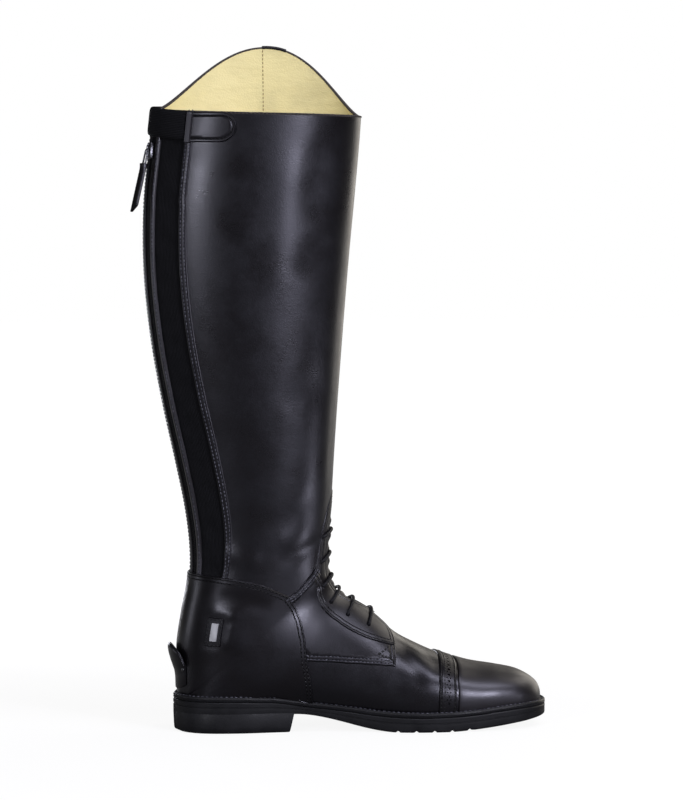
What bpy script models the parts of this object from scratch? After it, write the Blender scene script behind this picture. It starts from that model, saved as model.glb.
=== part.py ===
"""Tall laced field boot for the left foot, at rest on its sole.

The frame is in metres: +X runs to the toe, +Y to the lateral side and +Z up. The origin lies on the floor
under the middle of the heel. The upper is one surface, swept through sections that start upright at the toe,
lean back round the heel and end level in the shaft, and every piece that lies on it uses that surface.
"""

import bpy
import numpy as np

MM = 0.001

# Driving sizes of the boot
LAST_LENGTH = 270.8 * MM
BALL_WIDTH = 88.0 * MM
INSTEP_HEIGHT = 97.4 * MM
SHAFT_HEIGHT = 456.0 * MM
PEAK_RISE = 49.0 * MM
HEEL_HEIGHT = 13.6 * MM
TOE_SPRING = 9.5 * MM
WALL = 2.4 * MM
GAP = 0.3 * MM

# Sizes of the pattern that the section table below was drawn for
PATTERN_LENGTH = 270.8 * MM
PATTERN_BALL = 88.0 * MM
PATTERN_INSTEP = 97.4 * MM

# One row for each section. It runs from its front point, on the ridge of the foot or the shin, to its back
# point, on the sole or up the back of the leg. Widths are half widths from the section's middle: medial and
# lateral at the fullest place, then at the sole. A section with no width at the sole is closed behind.
SECTION_COLUMNS = (
    "front_x", "front_z", "back_x", "back_z", "middle_y", "medial", "lateral",
    "sole_medial", "sole_lateral", "fullest", "front_power", "back_power",
)
SECTION_TABLE = (
    (238.8, 24.6, 238.8, 16.0, -4.0, 0.0, 0.0, 0.0, 0.0, 0.70, 2.30, 2.4),
    (234.6, 32.4, 234.6, 16.0, -4.0, 16.5, 16.5, 16.0, 16.0, 0.70, 2.30, 2.4),
    (222.5, 39.6, 222.5, 15.6, -3.6, 28.8, 28.0, 27.8, 27.0, 0.70, 2.30, 2.4),
    (206.0, 43.2, 206.0, 14.3, -2.6, 36.0, 34.5, 34.5, 33.3, 0.70, 2.30, 2.4),
    (186.0, 46.6, 186.0, 12.2, -1.0, 41.3, 40.0, 39.8, 38.8, 0.70, 2.25, 2.4),
    (165.0, 53.2, 164.0, 11.0, 0.0, 45.0, 44.5, 43.0, 43.0, 0.70, 2.20, 2.4),
    (146.0, 61.6, 141.0, 10.8, 0.5, 45.5, 47.0, 43.0, 44.8, 0.70, 2.10, 2.4),
    (130.0, 70.4, 116.0, 12.0, 0.5, 43.0, 46.8, 37.5, 43.0, 0.70, 2.00, 2.4),
    (116.0, 82.6, 90.0, 15.2, 0.5, 40.0, 44.0, 30.5, 37.5, 0.68, 1.95, 2.4),
    (103.0, 91.6, 62.0, 18.6, 0.3, 37.5, 41.0, 27.0, 32.5, 0.66, 1.95, 2.3),
    (92.5, 97.4, 35.0, 22.4, 0.0, 35.8, 38.0, 27.8, 30.0, 0.64, 1.95, 2.2),
    (85.6, 103.6, 10.0, 23.4, 0.0, 35.2, 36.5, 29.8, 30.0, 0.62, 2.00, 2.2),
    (81.8, 110.5, -14.0, 23.8, 0.0, 35.0, 35.6, 27.0, 27.0, 0.60, 2.00, 2.2),
    (80.2, 118.0, -27.0, 23.8, 0.0, 34.8, 35.2, 17.0, 17.0, 0.58, 2.00, 2.2),
    (79.6, 126.0, -32.0, 24.0, 0.0, 34.8, 35.0, 0.0, 0.0, 0.56, 2.00, 2.2),
    (79.8, 134.0, -32.6, 44.0, 0.0, 34.8, 34.8, 0.0, 0.0, 0.55, 2.00, 2.2),
    (80.4, 143.5, -32.2, 65.0, 0.0, 35.0, 35.0, 0.0, 0.0, 0.53, 2.00, 2.2),
    (81.2, 155.0, -28.8, 88.0, 0.0, 35.2, 35.2, 0.0, 0.0, 0.52, 2.05, 2.2),
    (82.2, 170.0, -24.4, 112.0, 0.0, 35.6, 35.6, 0.0, 0.0, 0.51, 2.05, 2.2),
    (83.2, 189.0, -24.0, 137.0, 0.0, 36.4, 36.4, 0.0, 0.0, 0.50, 2.10, 2.15),
    (84.6, 213.0, -27.6, 167.0, 0.0, 37.8, 37.8, 0.0, 0.0, 0.50, 2.10, 2.15),
    (86.6, 243.0, -35.0, 203.0, 0.0, 39.6, 39.6, 0.0, 0.0, 0.50, 2.10, 2.1),
    (89.2, 278.0, -44.4, 246.0, 0.0, 41.8, 41.8, 0.0, 0.0, 0.50, 2.10, 2.1),
    (92.2, 316.0, -52.8, 294.0, 0.0, 43.6, 43.6, 0.0, 0.0, 0.50, 2.10, 2.1),
    (95.6, 356.0, -57.6, 343.0, 0.0, 44.8, 44.8, 0.0, 0.0, 0.50, 2.10, 2.1),
    (99.4, 396.0, -57.6, 390.0, 0.0, 45.6, 45.6, 0.0, 0.0, 0.50, 2.10, 2.1),
    (102.9, 435.0, -53.6, 432.0, 0.0, 46.6, 46.6, 0.0, 0.0, 0.50, 2.10, 2.1),
    (105.2, 466.0, -50.0, 466.0, 0.0, 47.6, 47.6, 0.0, 0.0, 0.50, 2.10, 2.1),
    (109.0, 512.0, -46.5, 512.0, 0.0, 49.5, 49.5, 0.0, 0.0, 0.50, 2.10, 2.1),
)
WAIST_ROW = 10
HEEL_ROW = 14
TOP_ROW = len(SECTION_TABLE) - 1

# Rows and columns of the upper's mesh: section numbers, and distances round the section in millimetres
ANKLE_END = 18.25
SHAFT_END = 25.0
ROW_STRETCHES = (
    (0, 1, 3), (1, 9, 13), (9, 11, 6), (11, HEEL_ROW, 7), (HEEL_ROW, ANKLE_END, 8), (ANKLE_END, SHAFT_END, 7),
)
RIM_STEPS = 4
THROAT_HALF = 6.5
FRONT_COLUMNS = (THROAT_HALF, 14.0, 24.0)
FRONT_REACH = 95.0
SLOT_NEAR = 6.0
SLOT_FAR = 43.0
BACK_COLUMNS = (SLOT_FAR, 33.0, 23.5, 14.5, SLOT_NEAR)
BACK_REACH = 110.0
MIDDLE_CELLS = 5
THROAT_FROM = 8.0

# Rim: height at the front, rise to the back, and the lateral peak round the section, as shares of that side
RIM_BACK_RISE = 6.0 * MM
PEAK_PLACE = 0.465
PEAK_HALF = 0.5
PEAK_POWER = 3.5

# Sole
WELT_REACH = 4.8 * MM
WELT_THICK = 3.5 * MM
WELT_CLIMB = 5.0
INSOLE_THICK = 3.0 * MM
INSOLE_INSET = 3.6 * MM
BREAST_X = 50.0 * MM
FLAT_FROM = 130.0 * MM
FLAT_TO = 162.0 * MM
SOLE_TIP = 243.6 * MM
RIB_FROM = 116.0 * MM
RIB_PITCH = 13.0 * MM
RIB_WIDTH = 9.6 * MM
RIB_DEPTH = 1.2 * MM
RIB_COUNT = 5
RIB_FLANK = 0.4 * MM
SOLE_COLUMNS = (-1.0, -0.4, 0.4, 1.0)
HEEL_INSET = 0.8 * MM

# Overlays on the upper
OVERLAY_GAP = 0.7 * MM
OVERLAY_PROUD = 1.9 * MM
STRIP_GAP = 0.4 * MM
OVERLAY_CLEAR = 4.4 * MM
CAP_END = 5.1
COUNTER_FROM = 9.0
COUNTER_TO = ANKLE_END
COUNTER_FOOT_ROW = 14.2
COUNTER_CORNER = 4
COUNTER_SEAM = (
    (64.4, 22.6), (62.2, 40.0), (59.4, 54.0), (57.9, 71.5), (52.9, 89.2), (44.5, 102.2),
    (21.9, 111.9), (-3.4, 116.3), (-22.4, 118.2),
)
SPUR_REST_ROWS = (14.4, 14.571, 14.857, 15.143, 15.429, 15.6, 15.75)
SPUR_REST_PROUD = (2.7, 2.9, 3.0, 3.0, 3.5, 4.8, 6.4)
SPUR_REST_COLUMNS = (20.0, 14.5, 6.0, 0.0, -6.0, -14.5, -20.0)
SPUR_REST_EDGE = 2.5 * MM
PATCH_MIDDLE = (-7.0, 76.0)
PATCH_HALF = (5.8, 10.3)
PATCH_LEAN = 0.14
PATCH_THICK = 1.2 * MM

# Closures: distances round the back, towards the medial side, and heights, in millimetres
ZIP_COLUMNS = (SLOT_NEAR + 0.3, 9.4, 9.6, 14.6, 14.8, 23.2)
ZIP_PROUD = (-0.5, -0.5, 0.9, 0.9, -0.5, -0.5)
ZIP_MIDDLE = 12.1
CHAIN_TOP = 439.0 * MM
CHAIN_PROUD = 0.9 * MM
GUSSET_COLUMNS = (23.6, 28.3, 33.0, SLOT_FAR - 0.3)
BAND_COLUMNS = (-33.0, -23.5, -14.5, -6.0, 0.0, 6.0, 14.5, 23.5, 33.0, 43.0)
BAND_LOW = 441.0 * MM
BAND_HIGH = 460.0 * MM
BAND_THICK = 1.8 * MM
TAB_COLUMNS = (43.4, 51.0, 59.0, 66.0, 72.0, 76.0, 78.5, 80.0)
TAB_ROUND = 12.0
TAB_LOW = 437.5 * MM
TAB_HIGH = 459.5 * MM
TAB_THICK = 1.6 * MM
STRIP_COLUMNS = (-8.5, -4.5, 0.0, 4.5, 8.5)
STRIP_PLACE = 0.435
STRIP_LENGTH = 110.0 * MM
STRIP_THICK = 1.2 * MM
SLIDER_HEIGHT = 431.0 * MM
SLIDER_SIZE = (8.0 * MM, 12.0 * MM, 3.0 * MM)
LINK_SIZE = (5.0 * MM, 13.0 * MM, 1.4 * MM)
LINK_PAST_HINGE = 0.7 * MM
HINGE_PROUD = 0.8 * MM
PULL_SIZE = (8.0 * MM, 31.0 * MM, 2.4 * MM)
PULL_LEAN = np.radians(14.0)

# Lacing: section number of each bar, and how far its eyelets lie from the middle
LACE_TABLE = ((8.4, 25.0), (9.5, 25.0), (10.9, 23.0), (12.5, 21.0), (14.7, 20.0), (16.5, 20.0))
LACE_RADIUS = 1.35 * MM
LACE_CLEAR = 0.5 * MM
LACE_POINTS = 7
LACE_SIDES = 6
TONGUE_FROM = 7.5
TONGUE_TO = 18.6
TONGUE_COLUMNS = len(FRONT_COLUMNS)
TONGUE_THICK = 2.0 * MM

COLOURS = {
    "leather": ((0.012, 0.012, 0.014, 1.0), 0.38, 0.0),
    "rubber": ((0.014, 0.014, 0.014, 1.0), 0.65, 0.0),
    "lining": ((0.80, 0.71, 0.40, 1.0), 0.60, 0.0),
    "elastic": ((0.008, 0.008, 0.009, 1.0), 0.80, 0.0),
    "cord": ((0.010, 0.010, 0.011, 1.0), 0.70, 0.0),
    "metal": ((0.62, 0.62, 0.64, 1.0), 0.25, 1.0),
}


def graded_sections():
    """The section table in metres, graded from the pattern's sizes to this boot's."""
    table = np.array(SECTION_TABLE)
    column = {name: place for place, name in enumerate(SECTION_COLUMNS)}
    for name in ("front_x", "back_x"):
        table[:, column[name]] *= MM * LAST_LENGTH / PATTERN_LENGTH
    for name in ("front_z", "back_z"):
        table[:, column[name]] *= MM * INSTEP_HEIGHT / PATTERN_INSTEP
    for name in ("middle_y", "medial", "lateral", "sole_medial", "sole_lateral"):
        table[:, column[name]] *= MM * BALL_WIDTH / PATTERN_BALL
    return table


def led_sections(table):
    """The table with a row before its first, so that the toe closes round, and a row after its last."""
    mirrored = np.array([-1.0 if "medial" in name or "lateral" in name else 1.0 for name in SECTION_COLUMNS])
    return np.vstack([table[1] * mirrored, table, 2 * table[-1] - table[-2]])


SECTIONS = led_sections(graded_sections())


def section(v):
    """The columns of the section at each row number, which may fall between two rows.

    The columns run in smooth curves, but the sole line is straight from the waist to the back of the heel.
    """
    v = np.clip(np.asarray(v, float), 0.0, TOP_ROW)
    row = np.minimum(v.astype(int), TOP_ROW - 1)
    f = (v - row)[..., None]
    a, b, c, d = (SECTIONS[row + step] for step in range(4))
    curve = 2 * b + (c - a) * f + (2 * a - 5 * b + 4 * c - d) * f**2 + (3 * b - a - 3 * c + d) * f**3
    found = dict(zip(SECTION_COLUMNS, np.moveaxis(0.5 * curve, -1, 0)))
    straight = (b + (c - b) * f)[..., SECTION_COLUMNS.index("back_z")]
    found["back_z"] = np.where((v > WAIST_ROW) & (v < HEEL_ROW), straight, found["back_z"])
    return found


def rounded(value, power):
    """A sine or cosine bent to a fuller or leaner arc, keeping its sign."""
    return np.sign(value) * np.abs(value) ** (2.0 / power)


def surface(v, u):
    """Points on the outside of the upper: u is 0 at the front, and -1 (medial) or 1 (lateral) at the back."""
    row = section(v)
    u = np.asarray(u, float) + 0.0 * row["front_x"]
    share = np.abs(u)
    width = np.maximum(np.where(u < 0, row["medial"], row["lateral"]), 1e-9)
    sole = np.where(u < 0, row["sole_medial"], row["sole_lateral"])
    front_angle = np.pi * np.minimum(share, 0.5)
    kept = np.clip(sole / width, 0.0, 0.995)
    end = (1.0 - kept ** row["back_power"]) ** (1.0 / row["back_power"])
    back_angle = np.arcsin(end ** (row["back_power"] / 2.0)) * (2.0 * np.maximum(share, 0.5) - 1.0)
    front_along = row["fullest"] * (1.0 - rounded(np.cos(front_angle), row["front_power"]))
    back_run = rounded(np.sin(back_angle), row["back_power"]) / np.maximum(end, 1e-9)
    back_along = row["fullest"] + (1.0 - row["fullest"]) * back_run
    in_front = share <= 0.5
    along = np.where(in_front, front_along, back_along)
    out = np.where(
        in_front,
        rounded(np.sin(front_angle), row["front_power"]),
        rounded(np.cos(back_angle), row["back_power"]),
    )
    x = row["front_x"] + (row["back_x"] - row["front_x"]) * along
    z = row["front_z"] + (row["back_z"] - row["front_z"]) * along
    y = row["middle_y"] + np.where(u < 0, -1.0, 1.0) * width * out
    return np.stack([x, y, z], axis=-1)


def normals(v, u):
    """Unit normals of the upper's outside, pointing out."""
    v, u = np.broadcast_arrays(np.asarray(v, float), np.asarray(u, float))
    small_v, small_u = 0.03, 0.006
    across = surface(v, u + small_u) - surface(v, u - small_u)
    along = surface(v + small_v, u) - surface(v - small_v, u)
    found = np.cross(across, along)
    found /= np.maximum(np.linalg.norm(found, axis=-1, keepdims=True), 1e-12)
    row = section(v)
    inside = np.stack([
        row["front_x"] + (row["back_x"] - row["front_x"]) * row["fullest"],
        row["middle_y"],
        row["front_z"] + (row["back_z"] - row["front_z"]) * row["fullest"],
    ], axis=-1)
    outward = np.sum(found * (surface(v, u) - inside), axis=-1, keepdims=True)
    return np.where(outward < 0, -found, found)


def girth(v, side):
    """Shares round one side of a section, and the length from the front at each, in millimetres."""
    shares = np.linspace(0.0, 1.0, 161)
    points = surface(np.full(shares.shape, v), side * shares)
    steps = np.linalg.norm(np.diff(points, axis=0), axis=1)
    return shares, np.concatenate([[0.0], np.cumsum(steps)]) / MM


def from_front(v, distances, side):
    """Places round the section at these distances from its front point."""
    shares, lengths = girth(v, side)
    return side * np.interp(distances, lengths, shares)


def from_back(v, distances):
    """Places at these distances from the back point: towards the medial side above 0, the lateral below."""
    places = []
    for distance in np.atleast_1d(distances):
        side = -1.0 if distance >= 0 else 1.0
        shares, lengths = girth(v, side)
        places.append(side * np.interp(lengths[-1] - abs(distance), lengths, shares))
    return np.array(places)


def side_columns(v, side):
    """Column places of one side from front to back, closer together where the section turns tightly."""
    shares, lengths = girth(v, side)
    total = lengths[-1]
    front = np.array((0.0,) + FRONT_COLUMNS) * min(1.0, total / FRONT_REACH)
    back = total - np.array(BACK_COLUMNS + (0.0,)) * min(1.0, total / BACK_REACH)
    middle = np.linspace(front[-1], back[0], MIDDLE_CELLS + 1)[1:-1]
    return side * np.interp(np.concatenate([front, middle, back]), lengths, shares)


def columns(v):
    """Column places right round, from the medial back over the front to the lateral back."""
    return np.concatenate([side_columns(v, -1.0)[::-1], side_columns(v, 1.0)[1:]])


FRONT_COLUMN = len(FRONT_COLUMNS) + MIDDLE_CELLS + len(BACK_COLUMNS)
SLOT_COLUMNS = range(1, len(BACK_COLUMNS))


def row_numbers():
    """Section numbers of the upper's rows, up to where the shaft meets the rim."""
    stretches = [np.linspace(start, end, steps + 1)[:-1] for start, end, steps in ROW_STRETCHES]
    return np.concatenate(stretches + [[SHAFT_END]])


def rim_height(u):
    """Height of the rim at a place round it."""
    offset = np.clip((u - PEAK_PLACE) / PEAK_HALF, -1.0, 1.0)
    return SHAFT_HEIGHT + RIM_BACK_RISE * np.abs(u) + PEAK_RISE * (1.0 - offset**2) ** PEAK_POWER


def row_at_height(u, height):
    """Section number at which the surface reaches a height, at one place round the shaft."""
    numbers = np.linspace(ANKLE_END, TOP_ROW, 121)
    heights = surface(numbers, np.full(numbers.shape, u))[:, 2]
    return np.interp(height, heights, numbers)


def upper_grid():
    """Section numbers and places of every point of the upper's mesh."""
    lower = row_numbers()
    places = [columns(v) for v in lower]
    numbers = [np.full(places[0].shape, v) for v in lower]
    rim_places = columns(SHAFT_END + 1.0)
    rim = np.array([row_at_height(u, rim_height(u)) for u in rim_places])
    for step in range(1, RIM_STEPS + 1):
        numbers.append(SHAFT_END + (rim - SHAFT_END) * step / RIM_STEPS)
        places.append(rim_places)
    return np.array(numbers), np.array(places)


def averaged_normals(v, u):
    """Normals in which points that coincide, as at the back seam and the toe tip, share one."""
    points = surface(v, u).reshape(-1, 3)
    found = normals(v, u).reshape(-1, 3)
    _, index = np.unique(np.round(points / (0.02 * MM)), axis=0, return_inverse=True)
    index = index.reshape(-1)
    total = np.zeros((index.max() + 1, 3))
    np.add.at(total, index, found)
    total /= np.maximum(np.linalg.norm(total, axis=1, keepdims=True), 1e-12)
    return total[index].reshape(v.shape + (3,))


def material(name):
    colour, roughness, metallic = COLOURS[name]
    made = bpy.data.materials.get(name) or bpy.data.materials.new(name)
    made.use_nodes = True
    shader = made.node_tree.nodes["Principled BSDF"]
    shader.inputs["Base Color"].default_value = colour
    shader.inputs["Roughness"].default_value = roughness
    shader.inputs["Metallic"].default_value = metallic
    made.diffuse_color = colour
    return made


def place_mesh(name, points, faces, finish):
    """A new object from points and faces, turned so that its faces point out."""
    mesh = bpy.data.meshes.new(name)
    corners = np.asarray(points)
    volume = 0.0
    for face in faces:
        for second, third in zip(face[1:-1], face[2:]):
            volume += np.dot(corners[face[0]], np.cross(corners[second], corners[third]))
    if volume < 0:
        faces = [face[::-1] for face in faces]
    mesh.from_pydata([tuple(point) for point in corners], [], faces)
    mesh.shade_smooth()
    mesh.set_sharp_from_angle(angle=np.radians(40.0))
    made = bpy.data.objects.new(name, mesh)
    made.data.materials.append(material(finish))
    bpy.context.scene.collection.objects.link(made)
    return made


def skin(name, low, high, finish, keep=None):
    """A closed solid between two grids of points that face each other, walled along every open edge."""
    rows, cells = low.shape[0] - 1, low.shape[1] - 1
    both = np.concatenate([low, high], axis=2).reshape(-1, 6)
    _, first, index = np.unique(
        np.round(both / (0.01 * MM)), axis=0, return_index=True, return_inverse=True
    )
    index = index.reshape(low.shape[:2])
    lower = [tuple(both[place, :3]) for place in first]
    upper = [tuple(both[place, 3:]) for place in first]
    count = len(first)
    faces = []
    edges = {}
    for row in range(rows):
        for cell in range(cells):
            if keep is not None and not keep[row, cell]:
                continue
            ring = [index[row, cell], index[row, cell + 1], index[row + 1, cell + 1], index[row + 1, cell]]
            ring = [int(corner) for place, corner in enumerate(ring) if corner != ring[place - 1]]
            if len(set(ring)) < 3:
                continue
            faces.append(ring[::-1])
            faces.append([corner + count for corner in ring])
            for start, end in zip(ring, ring[1:] + ring[:1]):
                edges[(start, end)] = edges.get((start, end), 0) + 1
    for start, end in edges:
        if (end, start) not in edges:
            faces.append([start, end, end + count, start + count])
    used = sorted({corner for face in faces for corner in face})
    number = {corner: place for place, corner in enumerate(used)}
    points = [(lower + upper)[corner] for corner in used]
    return place_mesh(name, points, [[number[corner] for corner in face] for face in faces], finish)


def sheet(name, v, u, low, high, finish, keep=None):
    """A solid that follows the upper's surface between two distances from it."""
    points = surface(v, u)
    out = averaged_normals(v, u)
    low = np.broadcast_to(low, v.shape)[..., None]
    high = np.broadcast_to(high, v.shape)[..., None]
    return skin(name, points + out * low, points + out * high, finish, keep)


def upper():
    """The hollow upper, open at the rim, the throat, the zip's slot and underneath."""
    v, u = upper_grid()
    middle = 0.5 * (v[:-1, :-1] + v[1:, 1:])
    keep = np.ones((v.shape[0] - 1, v.shape[1] - 1), bool)
    for cell in (FRONT_COLUMN - 1, FRONT_COLUMN):
        keep[:, cell] &= (middle[:, cell] < THROAT_FROM) | (middle[:, cell] > ANKLE_END)
    for cell in SLOT_COLUMNS:
        keep[:, cell] &= middle[:, cell] < ANKLE_END
    points = surface(v, u)
    inner = points - averaged_normals(v, u) * WALL
    inner[..., 2] = np.maximum(inner[..., 2], sole_height(inner[..., 0]) + GAP)
    return skin("upper", inner, points, "leather", keep)


def sole_height(x):
    """Height of the outsole's top, a gap below the upper's lower edge."""
    numbers = np.linspace(0.0, HEEL_ROW, 120)
    row = section(numbers)
    return np.interp(x, row["back_x"][::-1], row["back_z"][::-1]) - GAP


def sole_bottom(x):
    """Height of the outsole's underside: level at the heel, flat at the ball, raised at arch and toe."""
    arch = np.clip((FLAT_FROM - x) / (FLAT_FROM - BREAST_X), 0.0, 1.0)
    toe = np.clip((x - FLAT_TO) / (SOLE_TIP - FLAT_TO), 0.0, 1.0)
    return HEEL_HEIGHT * arch**2 * (3.0 - 2.0 * arch) + TOE_SPRING * toe**1.5


def sole_edge(v, reach):
    """Plan points of the medial and the lateral sole edge beside a section, moved out by a reach."""
    v = np.atleast_1d(np.asarray(v, float))
    edges = []
    for side in (-1.0, 1.0):
        here = surface(v, np.full(v.shape, side))
        ahead = surface(np.minimum(v + 0.05, HEEL_ROW), np.full(v.shape, side))
        behind = surface(np.maximum(v - 0.05, 0.0), np.full(v.shape, side))
        run = (ahead - behind)[:, :2]
        out = np.stack([run[:, 1], -run[:, 0]], axis=1) * side
        out /= np.maximum(np.linalg.norm(out, axis=1, keepdims=True), 1e-12)
        out[v < 0.02] = (1.0, 0.0)
        out[v > HEEL_ROW - 0.02] = (-1.0, 0.0)
        edges.append(here[:, :2] + out * reach)
    return edges


def plate(name, v, reach, low, high, finish, level=False):
    """A solid with the plan of the sole between two heights, each given by a function of x.

    With level, each section has one height right across its underside.
    """
    medial, lateral = sole_edge(v, reach)
    share = (np.array(SOLE_COLUMNS) + 1.0) / 2.0
    plan = medial[:, None, :] + (lateral - medial)[:, None, :] * share[None, :, None]
    under = section(v)["back_x"][:, None] + 0.0 * plan[..., 0] if level else plan[..., 0]
    bottom = np.concatenate([plan, low(under)[..., None]], axis=2)
    top = np.concatenate([plan, high(plan[..., 0])[..., None]], axis=2)
    return skin(name, bottom, top, finish)


SOLE_STATIONS = np.concatenate([
    np.linspace(0.0, 2.0, 8), np.arange(2.5, 9.0, 0.5), np.linspace(9.0, HEEL_ROW, 13),
])


def section_under(x):
    """Section number whose sole point lies at x."""
    numbers = np.linspace(0.0, HEEL_ROW, 400)
    return np.interp(-x, -section(numbers)["back_x"], numbers)


def ribbed_bottom(x):
    """Underside of the outsole with ribs across it from the shank to the toe."""
    place = (x - RIB_FROM) / RIB_PITCH
    along = (place - np.floor(place)) * RIB_PITCH
    ribbed = (place > -1e-6) & (place < RIB_COUNT - 1e-6)
    groove = np.clip((along - RIB_WIDTH) / RIB_FLANK, 0.0, 1.0)
    groove *= np.clip((RIB_PITCH - along) / RIB_FLANK, 0.0, 1.0)
    return sole_bottom(x) + np.where(ribbed, RIB_DEPTH * groove, 0.0)


def outsole():
    edges = []
    for rib in range(RIB_COUNT):
        start = RIB_FROM + rib * RIB_PITCH
        edges += [start, start + RIB_WIDTH, start + RIB_WIDTH + RIB_FLANK, start + RIB_PITCH - RIB_FLANK]
    v = np.unique(np.round(np.concatenate([SOLE_STATIONS, section_under(np.array(edges))]), 4))
    return plate("outsole", v, WELT_REACH, ribbed_bottom, sole_height, "rubber", level=True)


def heel():
    v = np.linspace(section_under(BREAST_X), HEEL_ROW, 16)
    return plate(
        "heel", v, WELT_REACH - HEEL_INSET, lambda x: 0.0 * x, lambda x: sole_bottom(x) - GAP, "rubber"
    )


def insole():
    return plate(
        "insole", SOLE_STATIONS, -INSOLE_INSET, lambda x: sole_height(x) + GAP,
        lambda x: sole_height(x) + GAP + INSOLE_THICK, "lining",
    )


def welt():
    """A ring on the outsole, from the upper's own surface out to the sole's edge."""
    numbers = SOLE_STATIONS
    low = []
    high = []
    for place, side, order in ((0, -1.0, numbers), (1, 1.0, numbers[::-1])):
        edge = sole_edge(order, WELT_REACH - GAP)[place]
        foot = sole_edge(order, 4.0 * GAP)[place]
        for v, out, near in zip(order, edge, foot):
            climb = from_front(v, girth(v, side)[1][-1] - WELT_CLIMB, side)
            wall = (surface(v, climb) + 2.0 * GAP * normals(v, climb))[:2]
            flare = np.clip(min(12.0 - v, v * 4.0), 0.0, 1.0)
            inner = near + (wall - near) * flare
            floor_in, floor_out = sole_height(near[0]) + GAP, sole_height(out[0]) + GAP
            low.append([[*near, floor_in], [*out, floor_out]])
            high.append([[*inner, floor_in + WELT_THICK], [*out, floor_out + WELT_THICK]])
    return skin("welt", np.array(low + low[:1]), np.array(high + high[:1]), "rubber")


def lowest_place(v, side):
    """Place round a section where it clears the welt."""
    shares = np.linspace(0.05, 1.0, 200)
    points = surface(np.full(shares.shape, v), side * shares)
    clear = points[:, 2] - sole_height(points[:, 0]) - GAP >= OVERLAY_CLEAR
    return side * shares[clear][-1]


def toe_cap():
    """The toe cap, proud of the vamp, from the tip back to its straight seam."""
    v = np.concatenate([row_numbers()[row_numbers() < CAP_END], [CAP_END]])
    places = []
    for number in v:
        u = columns(number)
        places.append(np.clip(u, lowest_place(number, -1.0), lowest_place(number, 1.0)))
    u = np.array(places)
    v = np.broadcast_to(v[:, None], u.shape)
    return sheet("toe_cap", v, u, OVERLAY_GAP, OVERLAY_PROUD, "leather")


def counter_rows():
    rows = row_numbers()
    return np.unique(np.append(rows[(rows >= COUNTER_FROM) & (rows <= COUNTER_TO)], COUNTER_FOOT_ROW))


def heel_counter():
    """The counter, proud of the heel, from one side of the sole over the back to the other."""
    rows = counter_rows()
    v, u = [], []
    for number in rows:
        all_places = columns(number)
        numbers, places = [], []
        for side in (-1.0, 1.0):
            seam = [side_place(x * MM, z * MM, side) for x, z in COUNTER_SEAM] + [(COUNTER_TO, side)]
            seam_rows, seam_shares = np.abs(np.array(seam).T)
            front, top = slice(0, COUNTER_CORNER + 1), slice(COUNTER_CORNER, None)
            foot = abs(lowest_place(number, side))
            edge = min(foot, np.interp(number, seam_rows[front], seam_shares[front]))
            shares = np.clip(np.abs(all_places[side * all_places > -1e-9]), edge, foot)
            places.append(side * shares)
            numbers.append(np.minimum(number, np.interp(shares, seam_shares[top], seam_rows[top])))
        v.append(np.concatenate(numbers))
        u.append(np.concatenate(places))
    v, u = np.array(v), np.array(u)
    keep = np.ones((u.shape[0] - 1, u.shape[1] - 1), bool)
    keep[:, FRONT_COLUMN] = False
    return sheet("heel_counter", v, u, OVERLAY_GAP, OVERLAY_PROUD, "leather", keep)


def tongue():
    """A sheet behind the throat, inside the upper."""
    rows = row_numbers()
    v = np.concatenate([[TONGUE_FROM], rows[(rows > TONGUE_FROM) & (rows < TONGUE_TO)], [TONGUE_TO]])
    near = slice(FRONT_COLUMN - TONGUE_COLUMNS, FRONT_COLUMN + TONGUE_COLUMNS + 1)
    u = np.array([columns(number)[near] for number in v])
    v = np.broadcast_to(v[:, None], u.shape)
    high = -(WALL + 2.0 * GAP)
    return sheet("tongue", v, u, high - TONGUE_THICK, high, "leather")


def tube(name, path, radius, finish):
    """A round bar along a path of points, closed at both ends."""
    path = np.asarray(path)
    run = np.gradient(path, axis=0)
    run /= np.linalg.norm(run, axis=1, keepdims=True)
    aside = np.cross(run, np.array([0.3, 0.1, 1.0]))
    aside /= np.linalg.norm(aside, axis=1, keepdims=True)
    above = np.cross(run, aside)
    turn = np.linspace(0.0, 2.0 * np.pi, LACE_SIDES, endpoint=False)
    rings = path[:, None] + radius * (
        np.cos(turn)[None, :, None] * aside[:, None] + np.sin(turn)[None, :, None] * above[:, None]
    )
    faces = [list(range(LACE_SIDES))[::-1]]
    for ring in range(len(path) - 1):
        for side in range(LACE_SIDES):
            here, there = ring * LACE_SIDES + side, ring * LACE_SIDES + (side + 1) % LACE_SIDES
            faces.append([here, there, there + LACE_SIDES, here + LACE_SIDES])
    last = (len(path) - 1) * LACE_SIDES
    faces.append(list(range(last, last + LACE_SIDES)))
    return place_mesh(name, rings.reshape(-1, 3), faces, finish)


def lace_bars():
    """Six bars of round cord over the throat, from the lowest up."""
    for number, (v, reach) in enumerate(LACE_TABLE, start=1):
        steps = np.linspace(-reach, reach, LACE_POINTS)
        u = np.array([from_front(v, abs(step), -1.0 if step < 0 else 1.0) for step in steps])
        rows = np.full(u.shape, v)
        path = surface(rows, u) + normals(rows, u) * (LACE_RADIUS + LACE_CLEAR)
        tube(f"lace_bar_{number}", path, LACE_RADIUS, "cord")


def slot_strip(name, distances, low, high, finish):
    """A strip in the zip's slot, from the ankle to the rim, between distances round the back."""
    rows = row_numbers()
    lower = np.concatenate([[ANKLE_END + 0.03], rows[rows > ANKLE_END + 0.03]])
    numbers = [np.full(len(distances), v) for v in lower]
    places = [from_back(v, distances) for v in lower]
    rim_places = from_back(SHAFT_END + 1.0, distances)
    rim = np.array([row_at_height(u, rim_height(u)) for u in rim_places])
    for step in range(1, RIM_STEPS + 1):
        numbers.append(SHAFT_END + (rim - SHAFT_END) * step / RIM_STEPS)
        places.append(rim_places)
    v, u = np.array(numbers), np.array(places)
    return sheet(name, v, u, low, high(surface(v, u)[..., 2]), finish)


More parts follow.
